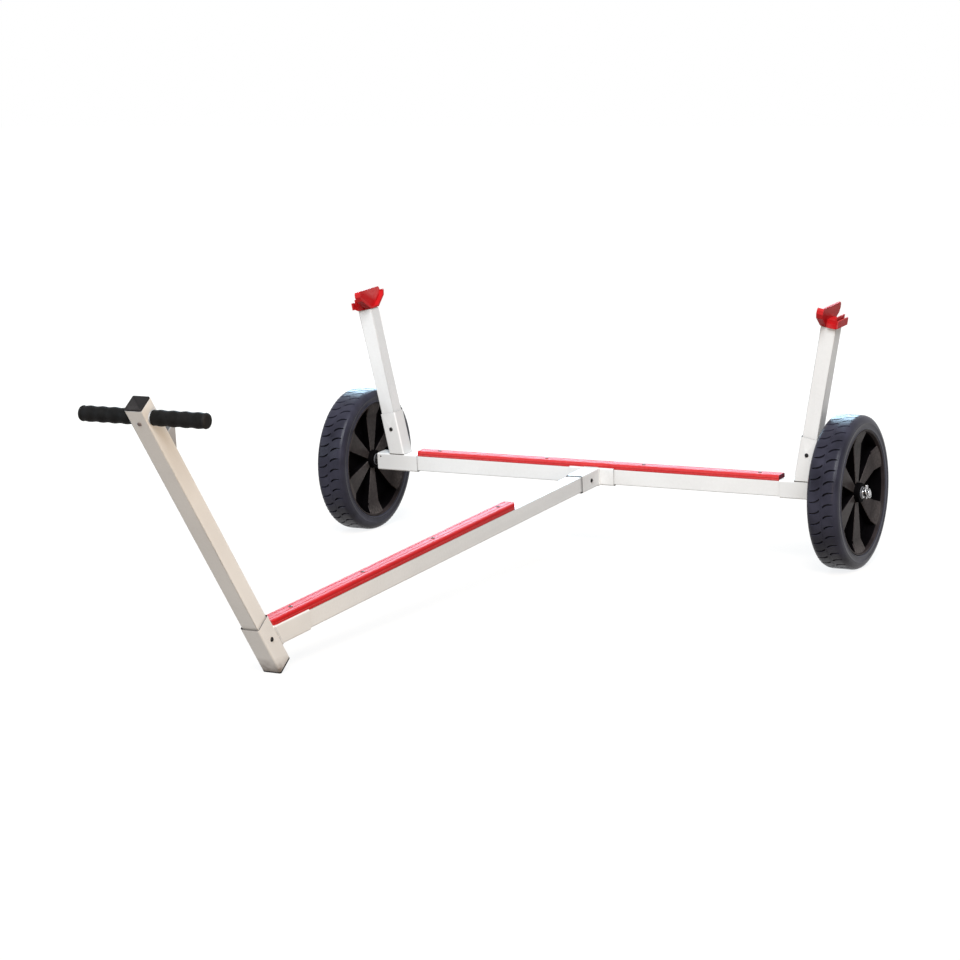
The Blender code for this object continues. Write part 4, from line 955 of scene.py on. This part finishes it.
for number, place in enumerate(KEEL_SCREWS, 1):
    seat = CHASSIS @ at(0, -place, STRIP_BASE + KEEL_STRIP_HEIGHT + FIT)
    pan_screw(f"keel_strip_pan_screw_{number}", 0.0205, seat, f"keel_strip_screw_{number}")
for number, place in enumerate(AXLE_SCREWS, 1):
    seat = CHASSIS @ at(place, 0, STRIP_BASE + AXLE_STRIP_HEIGHT + FIT)
    pan_screw(f"axle_strip_pan_screw_{number}", 0.0182, seat, f"axle_strip_screw_{number}")
seat = POST @ at(0, -TUBE / 2 - FIT, HANDLE_HEIGHT) @ ALONG_Y
pan_screw("handle_pan_screw", 0.0125, seat, "handle_screw")
print("screws driven")

# %% [markdown]
# Blind rivets pin the sleeves from below. Outside the metal only their domed heads show.

# %% Rivets
RIVET_MARGIN = 0.0214
RIVET_PLACE = BRACKET_MOUTH + RIVET_MARGIN
FOOT_RIVET = KEEL_LENGTH - FOOT_REACH + RIVET_MARGIN
UNDER = -SLEEVE / 2 - FIT
rivets = (("left_bracket", -RIVET_PLACE, 0), ("right_bracket", RIVET_PLACE, 0), ("tee", 0, 0),
          ("foot", 0, -FOOT_RIVET))

rivet_profile = [(0, 0.0011), (0.0009, 0.00105), (0.0018, 0.0009), (0.0027, 0.0006), (0.0034, 0.0001)]
rivet_profile += [(0.0034, 0), (0.0016, 0), (0.0016, -0.0052), (0.0022, -0.006), (0.0016, -0.0078)]
rivet_profile += [(0, -0.0078)]
for name, x, y in rivets:
    rivet = lathe(f"{name}_blind_rivet", rivet_profile, 20)
    settle(rivet, CHASSIS @ at(x, y, UNDER) @ turn(180, "X"), aluminium, replaces=[f"{name}_rivet"])
print("rivets set", len(rivets))

# %% [markdown]
# Black plastic stoppers close the post's top and the foot's bottom. Each is a moulded lid with a tongue that
# grips inside the tube. The lid's top is a little crowned.

# %% Cap and plug


def stopper(name, side, corner, thickness, tongue, depth, placement, node):
    lid = square_bar(name, side, corner, thickness)
    edit(lid)
    pick("faces", lambda face: face.normal.z > 0.99)
    bpy.ops.mesh.inset(thickness=0.004)
    bpy.ops.transform.translate(value=(0, 0, 0.0004))
    leave()
    rounded(lid, 0.0008, 3, 50)
    stem = put(square_bar("tongue", tongue, 0.001, depth), at(0, 0, -depth / 2 - thickness / 4))
    boolean(lid, stem, "UNION")
    settle(lid, placement, black_plastic, replaces=[node])


POST_TOP = 0.598
TUBE_PLUG = 0.0304
stopper("post_lid", TUBE, 0.003, 0.003, TUBE_PLUG, 0.016, POST @ at(0, 0, POST_TOP - 0.0015), "post_cap")
stopper("foot_lid", SLEEVE, SLEEVE_CORNER, 0.0038, 0.035, 0.014, POST @ at(0, 0, -0.0733) @ turn(180, "X"),
        "foot_plug")
print("stoppers in")

# %% [markdown]
# The hand bar is a round tube through the post. Each grip is a rubber sleeve that was dipped or moulded over
# a waved core, with a stouter rim at its far end. Its waves give the fingers a hold in wet gloves.

# %% Hand bar and grips
BAR_HALF = 0.1265
GRIP_END = 0.131
GRIP_START = 0.0192
GRIP_RADIUS = 0.0139
GRIP_WAVES = 4
HANDLE_BORE = 0.009
BAR_AXIS = POST @ at(0, 0, HANDLE_HEIGHT) @ ALONG_X

section = [(HANDLE_RADIUS, BAR_HALF), (HANDLE_RADIUS, -BAR_HALF)]
section += [(HANDLE_BORE, -BAR_HALF), (HANDLE_BORE, BAR_HALF)]
bar = lathe("hand_bar_tube", section, 40)
rounded(bar, EDGE_BREAK, 1, 50)
settle(bar, BAR_AXIS, aluminium, replaces=["handle_bar"])


def grip_profile():
    rim = ((0, 0), (0.0088, 0.0001), (0.0112, 0.0005), (0.0127, 0.0016), (0.0136, 0.0032), (0.0139, 0.0048),
           (0.0137, 0.0058), (0.0131, 0.0062), (0.0130, 0.0070))
    profile = [(radius, GRIP_END - back) for radius, back in rim]
    start = GRIP_START + 0.0035
    run = GRIP_END - 0.0075 - start
    steps = 12 * GRIP_WAVES
    for step in range(steps + 1):
        wave = math.cos(2 * math.pi * GRIP_WAVES * step / steps)
        profile.append((GRIP_RADIUS - 0.0002 - 0.0006 * wave, GRIP_END - 0.0075 - run * step / steps))
    profile += [(0.0137, GRIP_START + 0.0025), (0.0132, GRIP_START + 0.0008), (0.0122, GRIP_START)]
    return profile + [(0.0113, GRIP_START), (0.0113, BAR_HALF + FIT), (0, BAR_HALF + FIT)]


for name, side in SIDES:
    grip = lathe(f"{name}_grip_sleeve", grip_profile(), 48)
    settle(grip, BAR_AXIS @ turn(0 if side > 0 else 180, "X"), grip_rubber, replaces=[f"{name}_grip"])
print("grips", len(grip.data.polygons), "faces each")

# %% [markdown]
# Snap buttons lock each joint of the trolley. A domed plastic stud is pushed through both walls by a leaf
# spring inside the tube, so the trolley comes apart without tools. The springs keep their plain solids.

# %% Snap buttons
BUTTON_TOP = 0.0051
BUTTON_INSIDE = -0.0023
FLANGE_RADIUS = 0.0062


def stud(name, placement, node):
    profile = [(0, BUTTON_TOP), (0.0016, 0.00505), (0.0028, 0.0048), (0.0037, 0.0042), (0.0043, 0.0034)]
    profile += [(BUTTON_RADIUS, 0.0026), (BUTTON_RADIUS, BUTTON_INSIDE), (FLANGE_RADIUS, BUTTON_INSIDE)]
    profile += [(FLANGE_RADIUS, BUTTON_INSIDE - 0.0015), (0, BUTTON_INSIDE - 0.0015)]
    piece = lathe(name, profile, 32)
    settle(piece, placement, black_plastic, body=node, replaces=[node])


for name, side in SIDES:
    stud(f"{name}_upright_stud", upright_frame(side) @ at(0, -TUBE / 2, UPRIGHT_BUTTON) @ ALONG_Y,
         f"{name}_upright_button")
stud("keel_stud", CHASSIS @ at(TUBE / 2, TEE_BUTTON) @ ALONG_X, "keel_button")
stud("post_stud", POST @ at(TUBE / 2, 0, POST_BUTTON) @ ALONG_X, "post_button")
print("buttons in")

# %% [markdown]
# A folded sheet bracket behind the post takes the bow line. It is a wedge bent from thin sheet: a plate down
# the back with two cheeks that meet the post.

# %% Bow bracket
BRACKET_FOOT = POST_TOP - 0.130
BRACKET_RISE = 0.052
BRACKET_WIDTH = 0.028
SHEET = 0.0025
YZ_OUTLINE = Matrix(((0, 0, 1, 0), (1, 0, 0, 0), (0, 1, 0, 0), (0, 0, 0, 1)))

back = TUBE / 2 + FIT
top = (back + BRACKET_RISE * math.sin(POST_LEAN), BRACKET_FOOT + BRACKET_RISE * math.cos(POST_LEAN))
slope = SHEET / math.sin(POST_LEAN)
wedge = [(back, BRACKET_FOOT), top, (back, top[1])]
hollow = [(back - SHEET, BRACKET_FOOT + slope - SHEET / math.tan(POST_LEAN)), (top[0], top[1] + slope)]
hollow.append((back - SHEET, top[1] + slope))
bow_bracket = put(outline_bar("bow_line_bracket", wedge, BRACKET_WIDTH), YZ_OUTLINE)
boolean(bow_bracket, put(outline_bar("hollow", hollow, BRACKET_WIDTH - 2 * SHEET), YZ_OUTLINE), "DIFFERENCE")
rounded(bow_bracket, 0.0006, 3, 50)
settle(bow_bracket, POST, grey_sheet, replaces=["bow_bracket"])
print("bow bracket", len(bow_bracket.data.polygons), "faces")

# %% [markdown]
# ## Gunwale supports
# A red plastic saddle plugs into each upright. The boat's rim stands between the tall inboard cheek and a
# low fin, with an outer lip beyond. It is moulded in one piece, so bars are joined and every edge is rounded.

# %% Support outlines
UP_TOP = UPRIGHT_TOP + FIT
SEAT = 0.0185
FACE = -0.0045
PLATE = 0.0045
CHEEK_POINTS = ((0.017, 0.0003), (0.050, 0.023), (0.054, 0.033), (0.053, 0.041), (0.0495, 0.0452))
CHEEK_BACK = 0.037
CHEEK_BAR = 0.015
RIM = 0.0042


def mirrored(points):
    return list(points) + [(-x, y) for x, y in reversed(points)]


def sided(side, points):
    return [(side * x, y) for x, y in points]


def recess_outline():
    (foot, _), (low, low_rise), (wide, wide_rise) = CHEEK_POINTS[:3]
    points = [(RIM - foot, RIM), (foot - RIM, RIM), (low - RIM, low_rise + RIM * 0.5)]
    points += [(wide - RIM, wide_rise), (wide - RIM, CHEEK_BACK)]
    points += [(wide + RIM, CHEEK_BACK), (wide + RIM, 0.0552), (RIM - low, 0.0552)]
    return points + [(RIM - wide, wide_rise), (RIM - low, low_rise + RIM * 0.5)]


print("cheek points", len(mirrored(CHEEK_POINTS)))

# %% [markdown]
# The cheek's hollow is cut first, then the seat, the floor, the fin and the lip are joined to it, and the
# plug that goes into the upright. The Bevel gives the small radius that lets such a part leave its mould.

# %% Moulding the supports
for name, side in SIDES:
    cheek = put(outline_bar(f"{name}_saddle", mirrored(CHEEK_POINTS), CHEEK_BAR),
                at(side * (FACE - CHEEK_BAR / 2)) @ YZ_OUTLINE)
    recess = put(outline_bar("recess", recess_outline(), CHEEK_BAR),
                 at(side * (FACE - PLATE - CHEEK_BAR / 2)) @ YZ_OUTLINE)
    boolean(cheek, recess, "DIFFERENCE")
    inner = FACE - PLATE + 0.0005
    seat_block = [(inner, 0), (TUBE / 2, 0), (TUBE / 2, SEAT), (inner, SEAT)]
    floor_bar = [(0, 0.001), (0.0165, 0.001), (0.0232, 0.0055), (0.0232, 0.0105), (0, 0.0105)]
    fin = [(0.0155, 0.006), (0.0187, 0.006), (0.01838, 0.0275), (0.01582, 0.0275)]
    lip = [(0.0215, 0.0045), (0.0249, 0.0045), (0.02456, 0.021), (0.02184, 0.021)]
    for outline, length in ((seat_block, 0.038), (floor_bar, 0.047), (fin, 0.046), (lip, 0.060)):
        boolean(cheek, put(outline_bar("bar", sided(side, outline), length), ALONG_Y), "UNION")
    plug = put(square_bar("plug", TUBE_PLUG, 0.001, 0.034), at(0, 0, -0.013))
    boolean(cheek, plug, "UNION")
    rounded(cheek, 0.0007, 3, 25)
    settle(cheek, upright_frame(side) @ at(0, 0, UP_TOP), red_plastic, replaces=[f"{name}_gunwale_support"])
    print(cheek.name, len(cheek.data.polygons), "faces")

# %% [markdown]
# ## Axle ends
# A stub axle is welded through each bracket's wall. The wheel runs on nylon bushes between the axle's collar
# and a washer, and a linch pin with a wire ring keeps it on.

# %% Axles, washers and bushes
HUB_HALF = 0.031
WHEEL_X = abs(wheel_place.x)
AXLE_REACH = 0.049
COLLAR_START = BRACKET_END + FIT
COLLAR_END = COLLAR_START + 0.0127
LINCH_X = WHEEL_X + 0.0406


def outboard(side):
    return turn(90 * side, "Y")


for name, side in SIDES:
    outer = WHEEL_X + AXLE_REACH
    inner = BRACKET_END - BRACKET_WALL + 0.0009
    profile = [(0, outer), (0.0066, outer), (0.0075, outer - 0.0005), (AXLE_RADIUS, outer - 0.0014)]
    profile += [(AXLE_RADIUS, COLLAR_END), (0.0119, COLLAR_END)]
    profile += [(0.0125, COLLAR_END - 0.0006), (0.0125, COLLAR_START + 0.0006)]
    profile += [(0.0119, COLLAR_START), (AXLE_RADIUS, COLLAR_START), (AXLE_RADIUS, inner), (0, inner)]
    axle = lathe(f"{name}_axle_end", profile, 48)
    drill(axle, 0.0026, at(0, 0, LINCH_X) @ ALONG_X, 0.03)
    settle(axle, CHASSIS @ outboard(side), stainless, replaces=[f"{name}_stub_axle"])
    start = WHEEL_X + HUB_HALF + 0.0022
    profile = [(0.0083, start + 0.002), (0.0111, start + 0.002), (0.0115, start + 0.0016)]
    profile += [(0.0115, start + 0.0004), (0.0111, start), (0.0083, start)]
    washer = lathe(f"{name}_flat_washer", profile, 48)
    settle(washer, CHASSIS @ outboard(side), stainless, replaces=[f"{name}_washer"])
    for end_name, end in (("outer", side), ("inner", -side)):
        profile = [(0.0083, 0.0329), (0.0131, 0.0329), (0.0135, 0.0325), (0.0135, 0.0313), (0.0107, 0.0313)]
        bush = lathe(f"{name}_{end_name}_bushing", profile + [(0.0107, 0.013), (0.0083, 0.013)], 40)
        settle(bush, CHASSIS @ at(side * WHEEL_X) @ outboard(end), bush_nylon, body=f"{name}_wheel",
               replaces=[f"{name}_{end_name}_bush"])
print("axle ends fitted")

# %% [markdown]
# The linch pin is turned with a stout head. Its ring is bent from wire: a disc is spun round most of a
# circle, then its two ends are pulled into the hole through the head.

# %% Linch pins and rings
PIN_SEAT = 0.0083
RING_HEIGHT = PIN_SEAT + 0.0055
RING_WIRE = 0.0012
RING_LOOP = 0.0128
RING_STUB = 0.005
RING_SLANT = 20.0


def wire_ring(name):
    opening = math.asin(RING_STUB / RING_LOOP)
    drop = math.sqrt(RING_LOOP ** 2 - RING_STUB ** 2)
    bpy.ops.mesh.primitive_circle_add(vertices=14, radius=RING_WIRE, fill_type="NGON")
    ring = put(named(name), at(0, RING_STUB) @ Matrix.Rotation(math.pi / 2 - opening, 4, "X"))
    ring = put(ring, Matrix.Identity(4))
    edit(ring)
    select_every()
    bpy.ops.mesh.spin(steps=44, angle=-(2 * math.pi - 2 * opening), center=(0, 0, -drop), axis=(1, 0, 0))
    leave()
    edit(ring)
    pick("faces", lambda face: len(face.verts) > 4)
    bpy.ops.mesh.extrude_region_move()
    bpy.ops.transform.resize(value=(1, 0.24, 1), center_override=(0, 0, 0))
    close_outwards()
    return ring


for name, side in SIDES:
    top = PIN_SEAT + 0.010
    profile = [(0, top), (0.0026, top - 0.0002), (0.0036, top - 0.0007), (0.0042, top - 0.0017)]
    profile += [(0.0042, PIN_SEAT), (0.0023, PIN_SEAT)]
    profile += [(0.0023, -0.0112), (0.0018, -0.0122), (0.0010, -0.013), (0, -0.013)]
    pin = lathe(f"{name}_linch_shank", profile, 32)
    drill(pin, RING_WIRE + 0.0004, at(0, 0, RING_HEIGHT) @ ALONG_Y, 0.03)
    settle(pin, CHASSIS @ at(side * LINCH_X), stainless, replaces=[f"{name}_linch_pin"])
    ring = wire_ring(f"{name}_linch_wire")
    settle(ring, CHASSIS @ at(side * LINCH_X, 0, RING_HEIGHT) @ turn(-RING_SLANT * side, "Y"), stainless,
           body=f"{name}_linch_ring", replaces=[f"{name}_linch_ring"])
print("pins and rings in")

# %% [markdown]
# ## Wheels
# The wheel centre is moulded black plastic: a flanged rim, a thin web half way and a hub. Six broad wedge
# spokes stand on the web, and each rises to the rim's edge at its outer end. The hub, the pockets between
# the spokes and the inside of the rim are painted near black, as painted shade.

# %% Wheel centre
RIM_RADIUS = 0.136
RIM_HALF = 0.0345
WEB_HALF = 0.003
SPOKE_HALF = 0.0200
HUB_RADIUS = 0.0215
POCKET_DEPTH = 0.0155
SPOKE_OUTER = 0.12
SPOKE_RISE = 1.55
SPOKE_BREAK = 0.0012


def rim_profile():
    inside = RIM_RADIUS - 0.0065
    upper = [(0.01085, HUB_HALF - 0.0006), (0.0115, HUB_HALF), (HUB_RADIUS - 0.0022, HUB_HALF)]
    upper += [(HUB_RADIUS - 0.0007, HUB_HALF - 0.0005), (HUB_RADIUS, HUB_HALF - 0.002)]
    upper += [(HUB_RADIUS + 0.0004, 0.008), (HUB_RADIUS + 0.002, 0.004)]
    upper += [(HUB_RADIUS + 0.005, WEB_HALF), (inside - 0.005, WEB_HALF)]
    upper += [(inside - 0.0015, 0.0042), (inside, 0.008), (inside, RIM_HALF - 0.0100)]
    upper += [(inside + 0.0009, RIM_HALF - 0.007), (RIM_RADIUS - 0.0032, RIM_HALF - 0.0008)]
    upper += [(RIM_RADIUS - 0.0026, RIM_HALF - 0.0002)]
    upper += [(RIM_RADIUS - 0.0020, RIM_HALF), (RIM_RADIUS - 0.0006, RIM_HALF)]
    upper += [(RIM_RADIUS, RIM_HALF - 0.0006)]
    return upper + [(radius, -height) for radius, height in reversed(upper)]


def spoke(direction):
    rows = ((0.0205, 0.008), (0.104, 0.0230), (0.1110, 0.0245), (0.1318, 0.0290))
    outline = [(radius, half) for radius, half in rows] + [(radius, -half) for radius, half in reversed(rows)]
    piece = outline_bar("spoke", outline, 2 * SPOKE_HALF)
    edit(piece, "VERT")
    pick("verts", lambda vertex: vertex.co.x > SPOKE_OUTER)
    bpy.ops.transform.resize(value=(1, 1, SPOKE_RISE), center_override=(0, 0, 0))
    leave()
    edit(piece, "EDGE")
    pick("edges", lambda edge: abs(edge.verts[0].co.z + edge.verts[1].co.z) > SPOKE_HALF
         and edge.calc_length() > 0.015 and edge.verts[0].co.y * edge.verts[1].co.y > 0)
    bpy.ops.mesh.bevel(offset=SPOKE_BREAK, segments=2, affect="EDGES")
    leave()
    return put(piece, turn(direction, "Z"))


def join(pieces):
    only(pieces[0])
    for piece in pieces:
        piece.select_set(True)
    bpy.ops.object.join()
    return bpy.context.object


for name, side in SIDES:
    wheel = join([lathe(f"{name}_wheel_moulding", rim_profile(), 96)] + [spoke(60 * k) for k in range(6)])
    settle(wheel, at(side * WHEEL_X, wheel_place.y, wheel_place.z) @ ALONG_X, wheel_plastic,
           body=f"{name}_wheel", replaces=[f"{name}_wheel_centre"], smooth=math.radians(14))
    # painted shade on the hub, in the pockets and inside the rim
    wheel.data.materials.append(painted_wheel_recess_shade)
    for face in wheel.data.polygons:
        depth = abs(face.center.x - side * WHEEL_X)
        radius = math.hypot(face.center.y - wheel_place.y, face.center.z - wheel_place.z)
        on_hub = radius < HUB_RADIUS + 0.0012
        in_pocket = depth < POCKET_DEPTH and HUB_RADIUS + 0.001 < radius < RIM_RADIUS - 0.005
        inside_rim = depth < RIM_HALF - 0.008 and RIM_RADIUS - 0.009 < radius < RIM_RADIUS - 0.005
        if on_hub or in_pocket or inside_rim:
            face.material_index = 1
print("wheel centre", len(wheel.data.polygons), "faces")

# %% [markdown]
# The tyre is moulded in one piece with its tread. One pitch of the tread is a grid whose lines follow a
# comma-shaped groove: a thin tail at the shoulder and a wide hooked head near the middle. The two rows mirror
# each other through a point, so the tyre can be fitted either way round. Two fine lines run beside the
# middle, and small ticks stand on the shoulders between the grooves. Every function takes s, the distance
# along the tread from its middle line.

# %% One pitch of tread
PITCHES = 43
TYRE_RADIUS = 0.168
PITCH = 2 * math.pi * TYRE_RADIUS / PITCHES
TREAD_FLAT = 0.021
SHOULDER = 0.0145
TYRE_HALF = 0.0355
BEAD_RADIUS = 0.1363
GROOVE_START = 0.0030
GROOVE_END = 0.0275
GROOVE_LEAST = 0.0003
HOOK_START = 0.0175
HOOK_RUN = 0.0145
HOOK_PULL = 0.0072
HEAD_HALF = 0.0029
TAIL_NARROWER = 0.0014
HEAD_DEPTH = 0.0070
TAIL_SHALLOWER = 0.0030
HEAD_ROUND = 0.0012
TAIL_ROUND = 0.0020
HEAD_RAMP = 0.0004
GROOVE_SHIFT = 0.075
TAIL_DRIFT = 0.0010
DRIFT_START = 0.0105
DRIFT_RUN = 0.017
GROOVE_LIP = 0.0005
FLOOR_SHARE = 0.45
LINE_BAND = (0.00105, 0.00115)
LINE_DEPTH = 0.0004
TICK_BAND = (0.0299, 0.0318)
TICK_LEVELS = (1, 9)
TICK_RISE = 0.0006
SIDEWALL_START = 0.04378
LEVELS = 11
TREAD_COLUMNS = (0, 0.8, 1.1, 1.4, 2.2, 3.0, 3.35, 4.0, 5.0, 6.2, 7.6, 9.2, 11.2, 13.6, 16.2, 18.8, 21.0,
                 23.2, 25.2, 26.6, 27.2, 27.5, 28.4, 29.6, 30.3, 31.4, 32.1, 34.0, 37.0, 40.4, 43.78)
SIDE_ROWS = ((0.1528, 0.0000), (0.1520, 0.0004), (0.1512, 0.0004), (0.1504, -0.0001), (0.1460, -0.0008),
             (0.1415, -0.0008), (0.1402, -0.0006), (0.1396, 0.0000), (0.1388, 0.0000), (0.1382, -0.0007),
             (0.1370, -0.0014), (BEAD_RADIUS, -0.0026))


def groove_middle(s):
    hook = max(0.0, (HOOK_START - s) / HOOK_RUN)
    drift = TAIL_DRIFT * max(0.0, s - DRIFT_START) / DRIFT_RUN
    return -GROOVE_SHIFT * PITCH - HOOK_PULL * hook ** 2.0 + drift


def groove_half_width(s):
    if not GROOVE_START < s < GROOVE_END:
        return GROOVE_LEAST
    run = (s - GROOVE_START) / (GROOVE_END - GROOVE_START)
    head = math.sqrt(min(s - GROOVE_START, HEAD_ROUND) / HEAD_ROUND)
    tail = math.sqrt(min(GROOVE_END - s, TAIL_ROUND) / TAIL_ROUND)
    return max(GROOVE_LEAST, min(1.0, head, tail) * (HEAD_HALF - TAIL_NARROWER * run))


def groove_depth(s):
    if not GROOVE_START < s < GROOVE_END:
        return 0.0
    ends = min(1.0, (s - GROOVE_START) / HEAD_RAMP, (GROOVE_END - s) / TAIL_ROUND)
    return ends * (HEAD_DEPTH - TAIL_SHALLOWER * (s - GROOVE_START) / (GROOVE_END - GROOVE_START))


def tread_point(s, level):
    """Radius, height along the axle and turn of a point of the tread, for one side of the tyre."""
    middle = groove_middle(s) if s > GROOVE_START else groove_middle(GROOVE_START) * s / GROOVE_START
    half = groove_half_width(s)
    offsets = (-PITCH / 2, -PITCH / 4 - half / 2, -half - GROOVE_LIP, -half, -FLOOR_SHARE * half, 0.0,
               FLOOR_SHARE * half, half, half + GROOVE_LIP, PITCH / 4 + half / 2, PITCH / 2)
    depth = groove_depth(s) * (0, 0, 0, 0, 1, 1, 1, 0, 0, 0, 0)[level]
    if LINE_BAND[0] < s < LINE_BAND[1]:
        depth = LINE_DEPTH
    if TICK_BAND[0] < s < TICK_BAND[1] and level in TICK_LEVELS:
        depth = -TICK_RISE
    if s <= TREAD_FLAT:
        radius, height = TYRE_RADIUS - depth, s
    else:
        around = (s - TREAD_FLAT) / SHOULDER
        reach = SHOULDER - depth
        radius = TYRE_RADIUS - SHOULDER + reach * math.cos(around)
        height = TREAD_FLAT + reach * math.sin(around)
    return radius, height, (middle + offsets[level]) / TYRE_RADIUS


print("pitch", round(PITCH * 1000, 1), "mm")

# %% [markdown]
# The pitch is spun round into a full ring of forty-three, and the seams are merged. The sidewalls have fine
# raised rings near the tread and near the rim, and the bead is closed on the inside.

# %% The tyres


def tyre_columns():
    right = [("tread", s / 1000) for s in TREAD_COLUMNS] + [("side", row) for row in SIDE_ROWS]
    left = [(kind, value, -1) for kind, value in reversed(right[1:])]
    return left + [(kind, value, 1) for kind, value in right]


def tyre_point(column, level):
    kind, value, hand = column
    if kind == "tread":
        radius, height, around = tread_point(value, level if hand > 0 else LEVELS - 1 - level)
    else:
        radius, proud = value
        height = TYRE_HALF + proud
        around = tread_point(SIDEWALL_START, level if hand > 0 else LEVELS - 1 - level)[2]
    around *= hand
    return Vector((height * hand, -radius * math.cos(around), radius * math.sin(around)))


def moulded_tyre(name):
    columns = tyre_columns()
    bpy.ops.mesh.primitive_grid_add(x_subdivisions=len(columns) - 1, y_subdivisions=LEVELS - 1, size=2)
    tyre = named(name)
    for vertex in tyre.data.vertices:
        column = round((vertex.co.x + 1) / 2 * (len(columns) - 1))
        level = round((vertex.co.y + 1) / 2 * (LEVELS - 1))
        vertex.co = tyre_point(columns[column], level)
    edit(tyre, "FACE")
    select_every()
    bpy.ops.mesh.spin(steps=PITCHES - 1, dupli=True, angle=2 * math.pi * (PITCHES - 1) / PITCHES,
                      center=(0, 0, 0), axis=(1, 0, 0))
    select_every()
    bpy.ops.mesh.remove_doubles(threshold=2e-5)
    select_none()
    bpy.ops.mesh.select_mode(type="EDGE")
    bpy.ops.mesh.select_non_manifold()
    bpy.ops.mesh.bridge_edge_loops()
    close_outwards()
    return tyre


first_tyre = moulded_tyre("tyre_moulding")
for name, side in SIDES:
    tyre = copy_of(first_tyre, f"{name}_tyre_moulding")
    settle(tyre, at(side * WHEEL_X, wheel_place.y, wheel_place.z), tyre_rubber, body=f"{name}_wheel",
           replaces=[f"{name}_tyre"])
bpy.data.objects.remove(first_tyre)
print("tyre", len(tyre.data.polygons), "faces")

# %% [markdown]
# ## Stage
# A floor and a soft white surround. The floor is dark, so that it throws little light up at the trolley, but
# it glows to the camera, to gloss and to glass, so that it reads as the white of the photograph and still
# takes the shadow.

# %% Floor and world
FLOOR_SIZE = 60.0
FLOOR_LIFT = 0.85

bpy.ops.mesh.primitive_plane_add(size=FLOOR_SIZE)
floor = named("floor")
floor_paint = bpy.data.materials.new("floor_paint")
floor_paint.use_nodes = True
tree = floor_paint.node_tree
shader = tree.nodes["Principled BSDF"]
dial(shader, "Base Color", (0.17, 0.14, 0.112, 1))
dial(shader, "Roughness", 0.9)
dial(shader, "Specular IOR Level", 0.0)
dial(shader, "Emission Color", (0.985, 1.0, 1.02, 1))


def seen_by_camera(tree):
    """1 for a ray from the camera, or one that a glossy or clear surface sends on."""
    rays = add_node(tree, "ShaderNodeLightPath")
    first = add_node(tree, "ShaderNodeMath", operation="MAXIMUM")
    both = add_node(tree, "ShaderNodeMath", operation="MAXIMUM")
    wire(tree, rays, "Is Camera Ray", first, 0)
    wire(tree, rays, "Is Glossy Ray", first, 1)
    wire(tree, first, "Value", both, 0)
    wire(tree, rays, "Is Transmission Ray", both, 1)
    return both.outputs["Value"]


lift = add_node(tree, "ShaderNodeMath", operation="MULTIPLY")
dial(lift, 1, FLOOR_LIFT)
tree.links.new(seen_by_camera(tree), lift.inputs[0])
wire(tree, lift, "Value", shader, "Emission Strength")
floor.data.materials.append(floor_paint)

WORLD_LIGHT = 0.20
WORLD_WHITE = 1.0
world = bpy.data.worlds.new("studio")
bpy.context.scene.world = world
world.use_nodes = True
sky = world.node_tree.nodes["Background"]
dial(sky, "Color", (1, 1, 1, 1))
level = add_node(world.node_tree, "ShaderNodeMapRange")
dial(level, "To Min", WORLD_LIGHT)
dial(level, "To Max", WORLD_WHITE)
world.node_tree.links.new(seen_by_camera(world.node_tree), level.inputs["Value"])
wire(world.node_tree, level, "Result", sky, "Strength")
print("stage set")

# %% [markdown]
# One broad sun stands high behind the camera, so that faces which lean up are bright and faces which
# lean down are dark, as in the photograph. A small warm lamp, low and to the right of the foot, gives the
# post its cream tone. A cool lamp stands at the left, and a large one behind puts the pale blue sheen on the
# tops of the tyres.

# %% Lamps


def soft_lamp(name, place, target, size, power, colour):
    data = bpy.data.lights.new(name, "AREA")
    data.shape = "SQUARE"
    data.size = size
    data.energy = power
    data.color = colour
    lamp = bpy.data.objects.new(name, data)
    lamp.location = place
    lamp.rotation_euler = (Vector(target) - Vector(place)).to_track_quat("-Z", "Y").to_euler()
    bpy.context.scene.collection.objects.link(lamp)
    lamp.visible_camera = False


SUN_PLACE = Vector((2.0, -4.1, 4.6))
SUN_LIGHT = 4.55
SUN_ANGLE = 35.0

sun_data = bpy.data.lights.new("key", "SUN")
sun_data.energy = SUN_LIGHT
sun_data.angle = math.radians(SUN_ANGLE)
sun_data.color = (0.94, 0.975, 1.0)
sun = bpy.data.objects.new("key", sun_data)
sun.location = SUN_PLACE
sun.rotation_euler = SUN_PLACE.to_track_quat("Z", "Y").to_euler()
bpy.context.scene.collection.objects.link(sun)
soft_lamp("warm_fill", (1.15, -1.25, 0.45), (0, -0.70, 0.25), 0.7, 8, (1.0, 0.68, 0.36))
soft_lamp("cool_left", (-2.9, -1.7, 1.1), (0, 0.8, 0.15), 1.2, 24, (0.74, 0.87, 1.0))
soft_lamp("cool_back", (-1.9, 4.4, 2.3), (0, 0.8, 0.3), 2.6, 260, (0.52, 0.78, 1.0))
print("lamps set")

# %% [markdown]
# ## Finish
# The last cell sets a plain view transform, updates the view layer and closes the script.

# %% Finish
bpy.context.scene.view_settings.view_transform = "Standard"
bpy.context.view_layer.update()
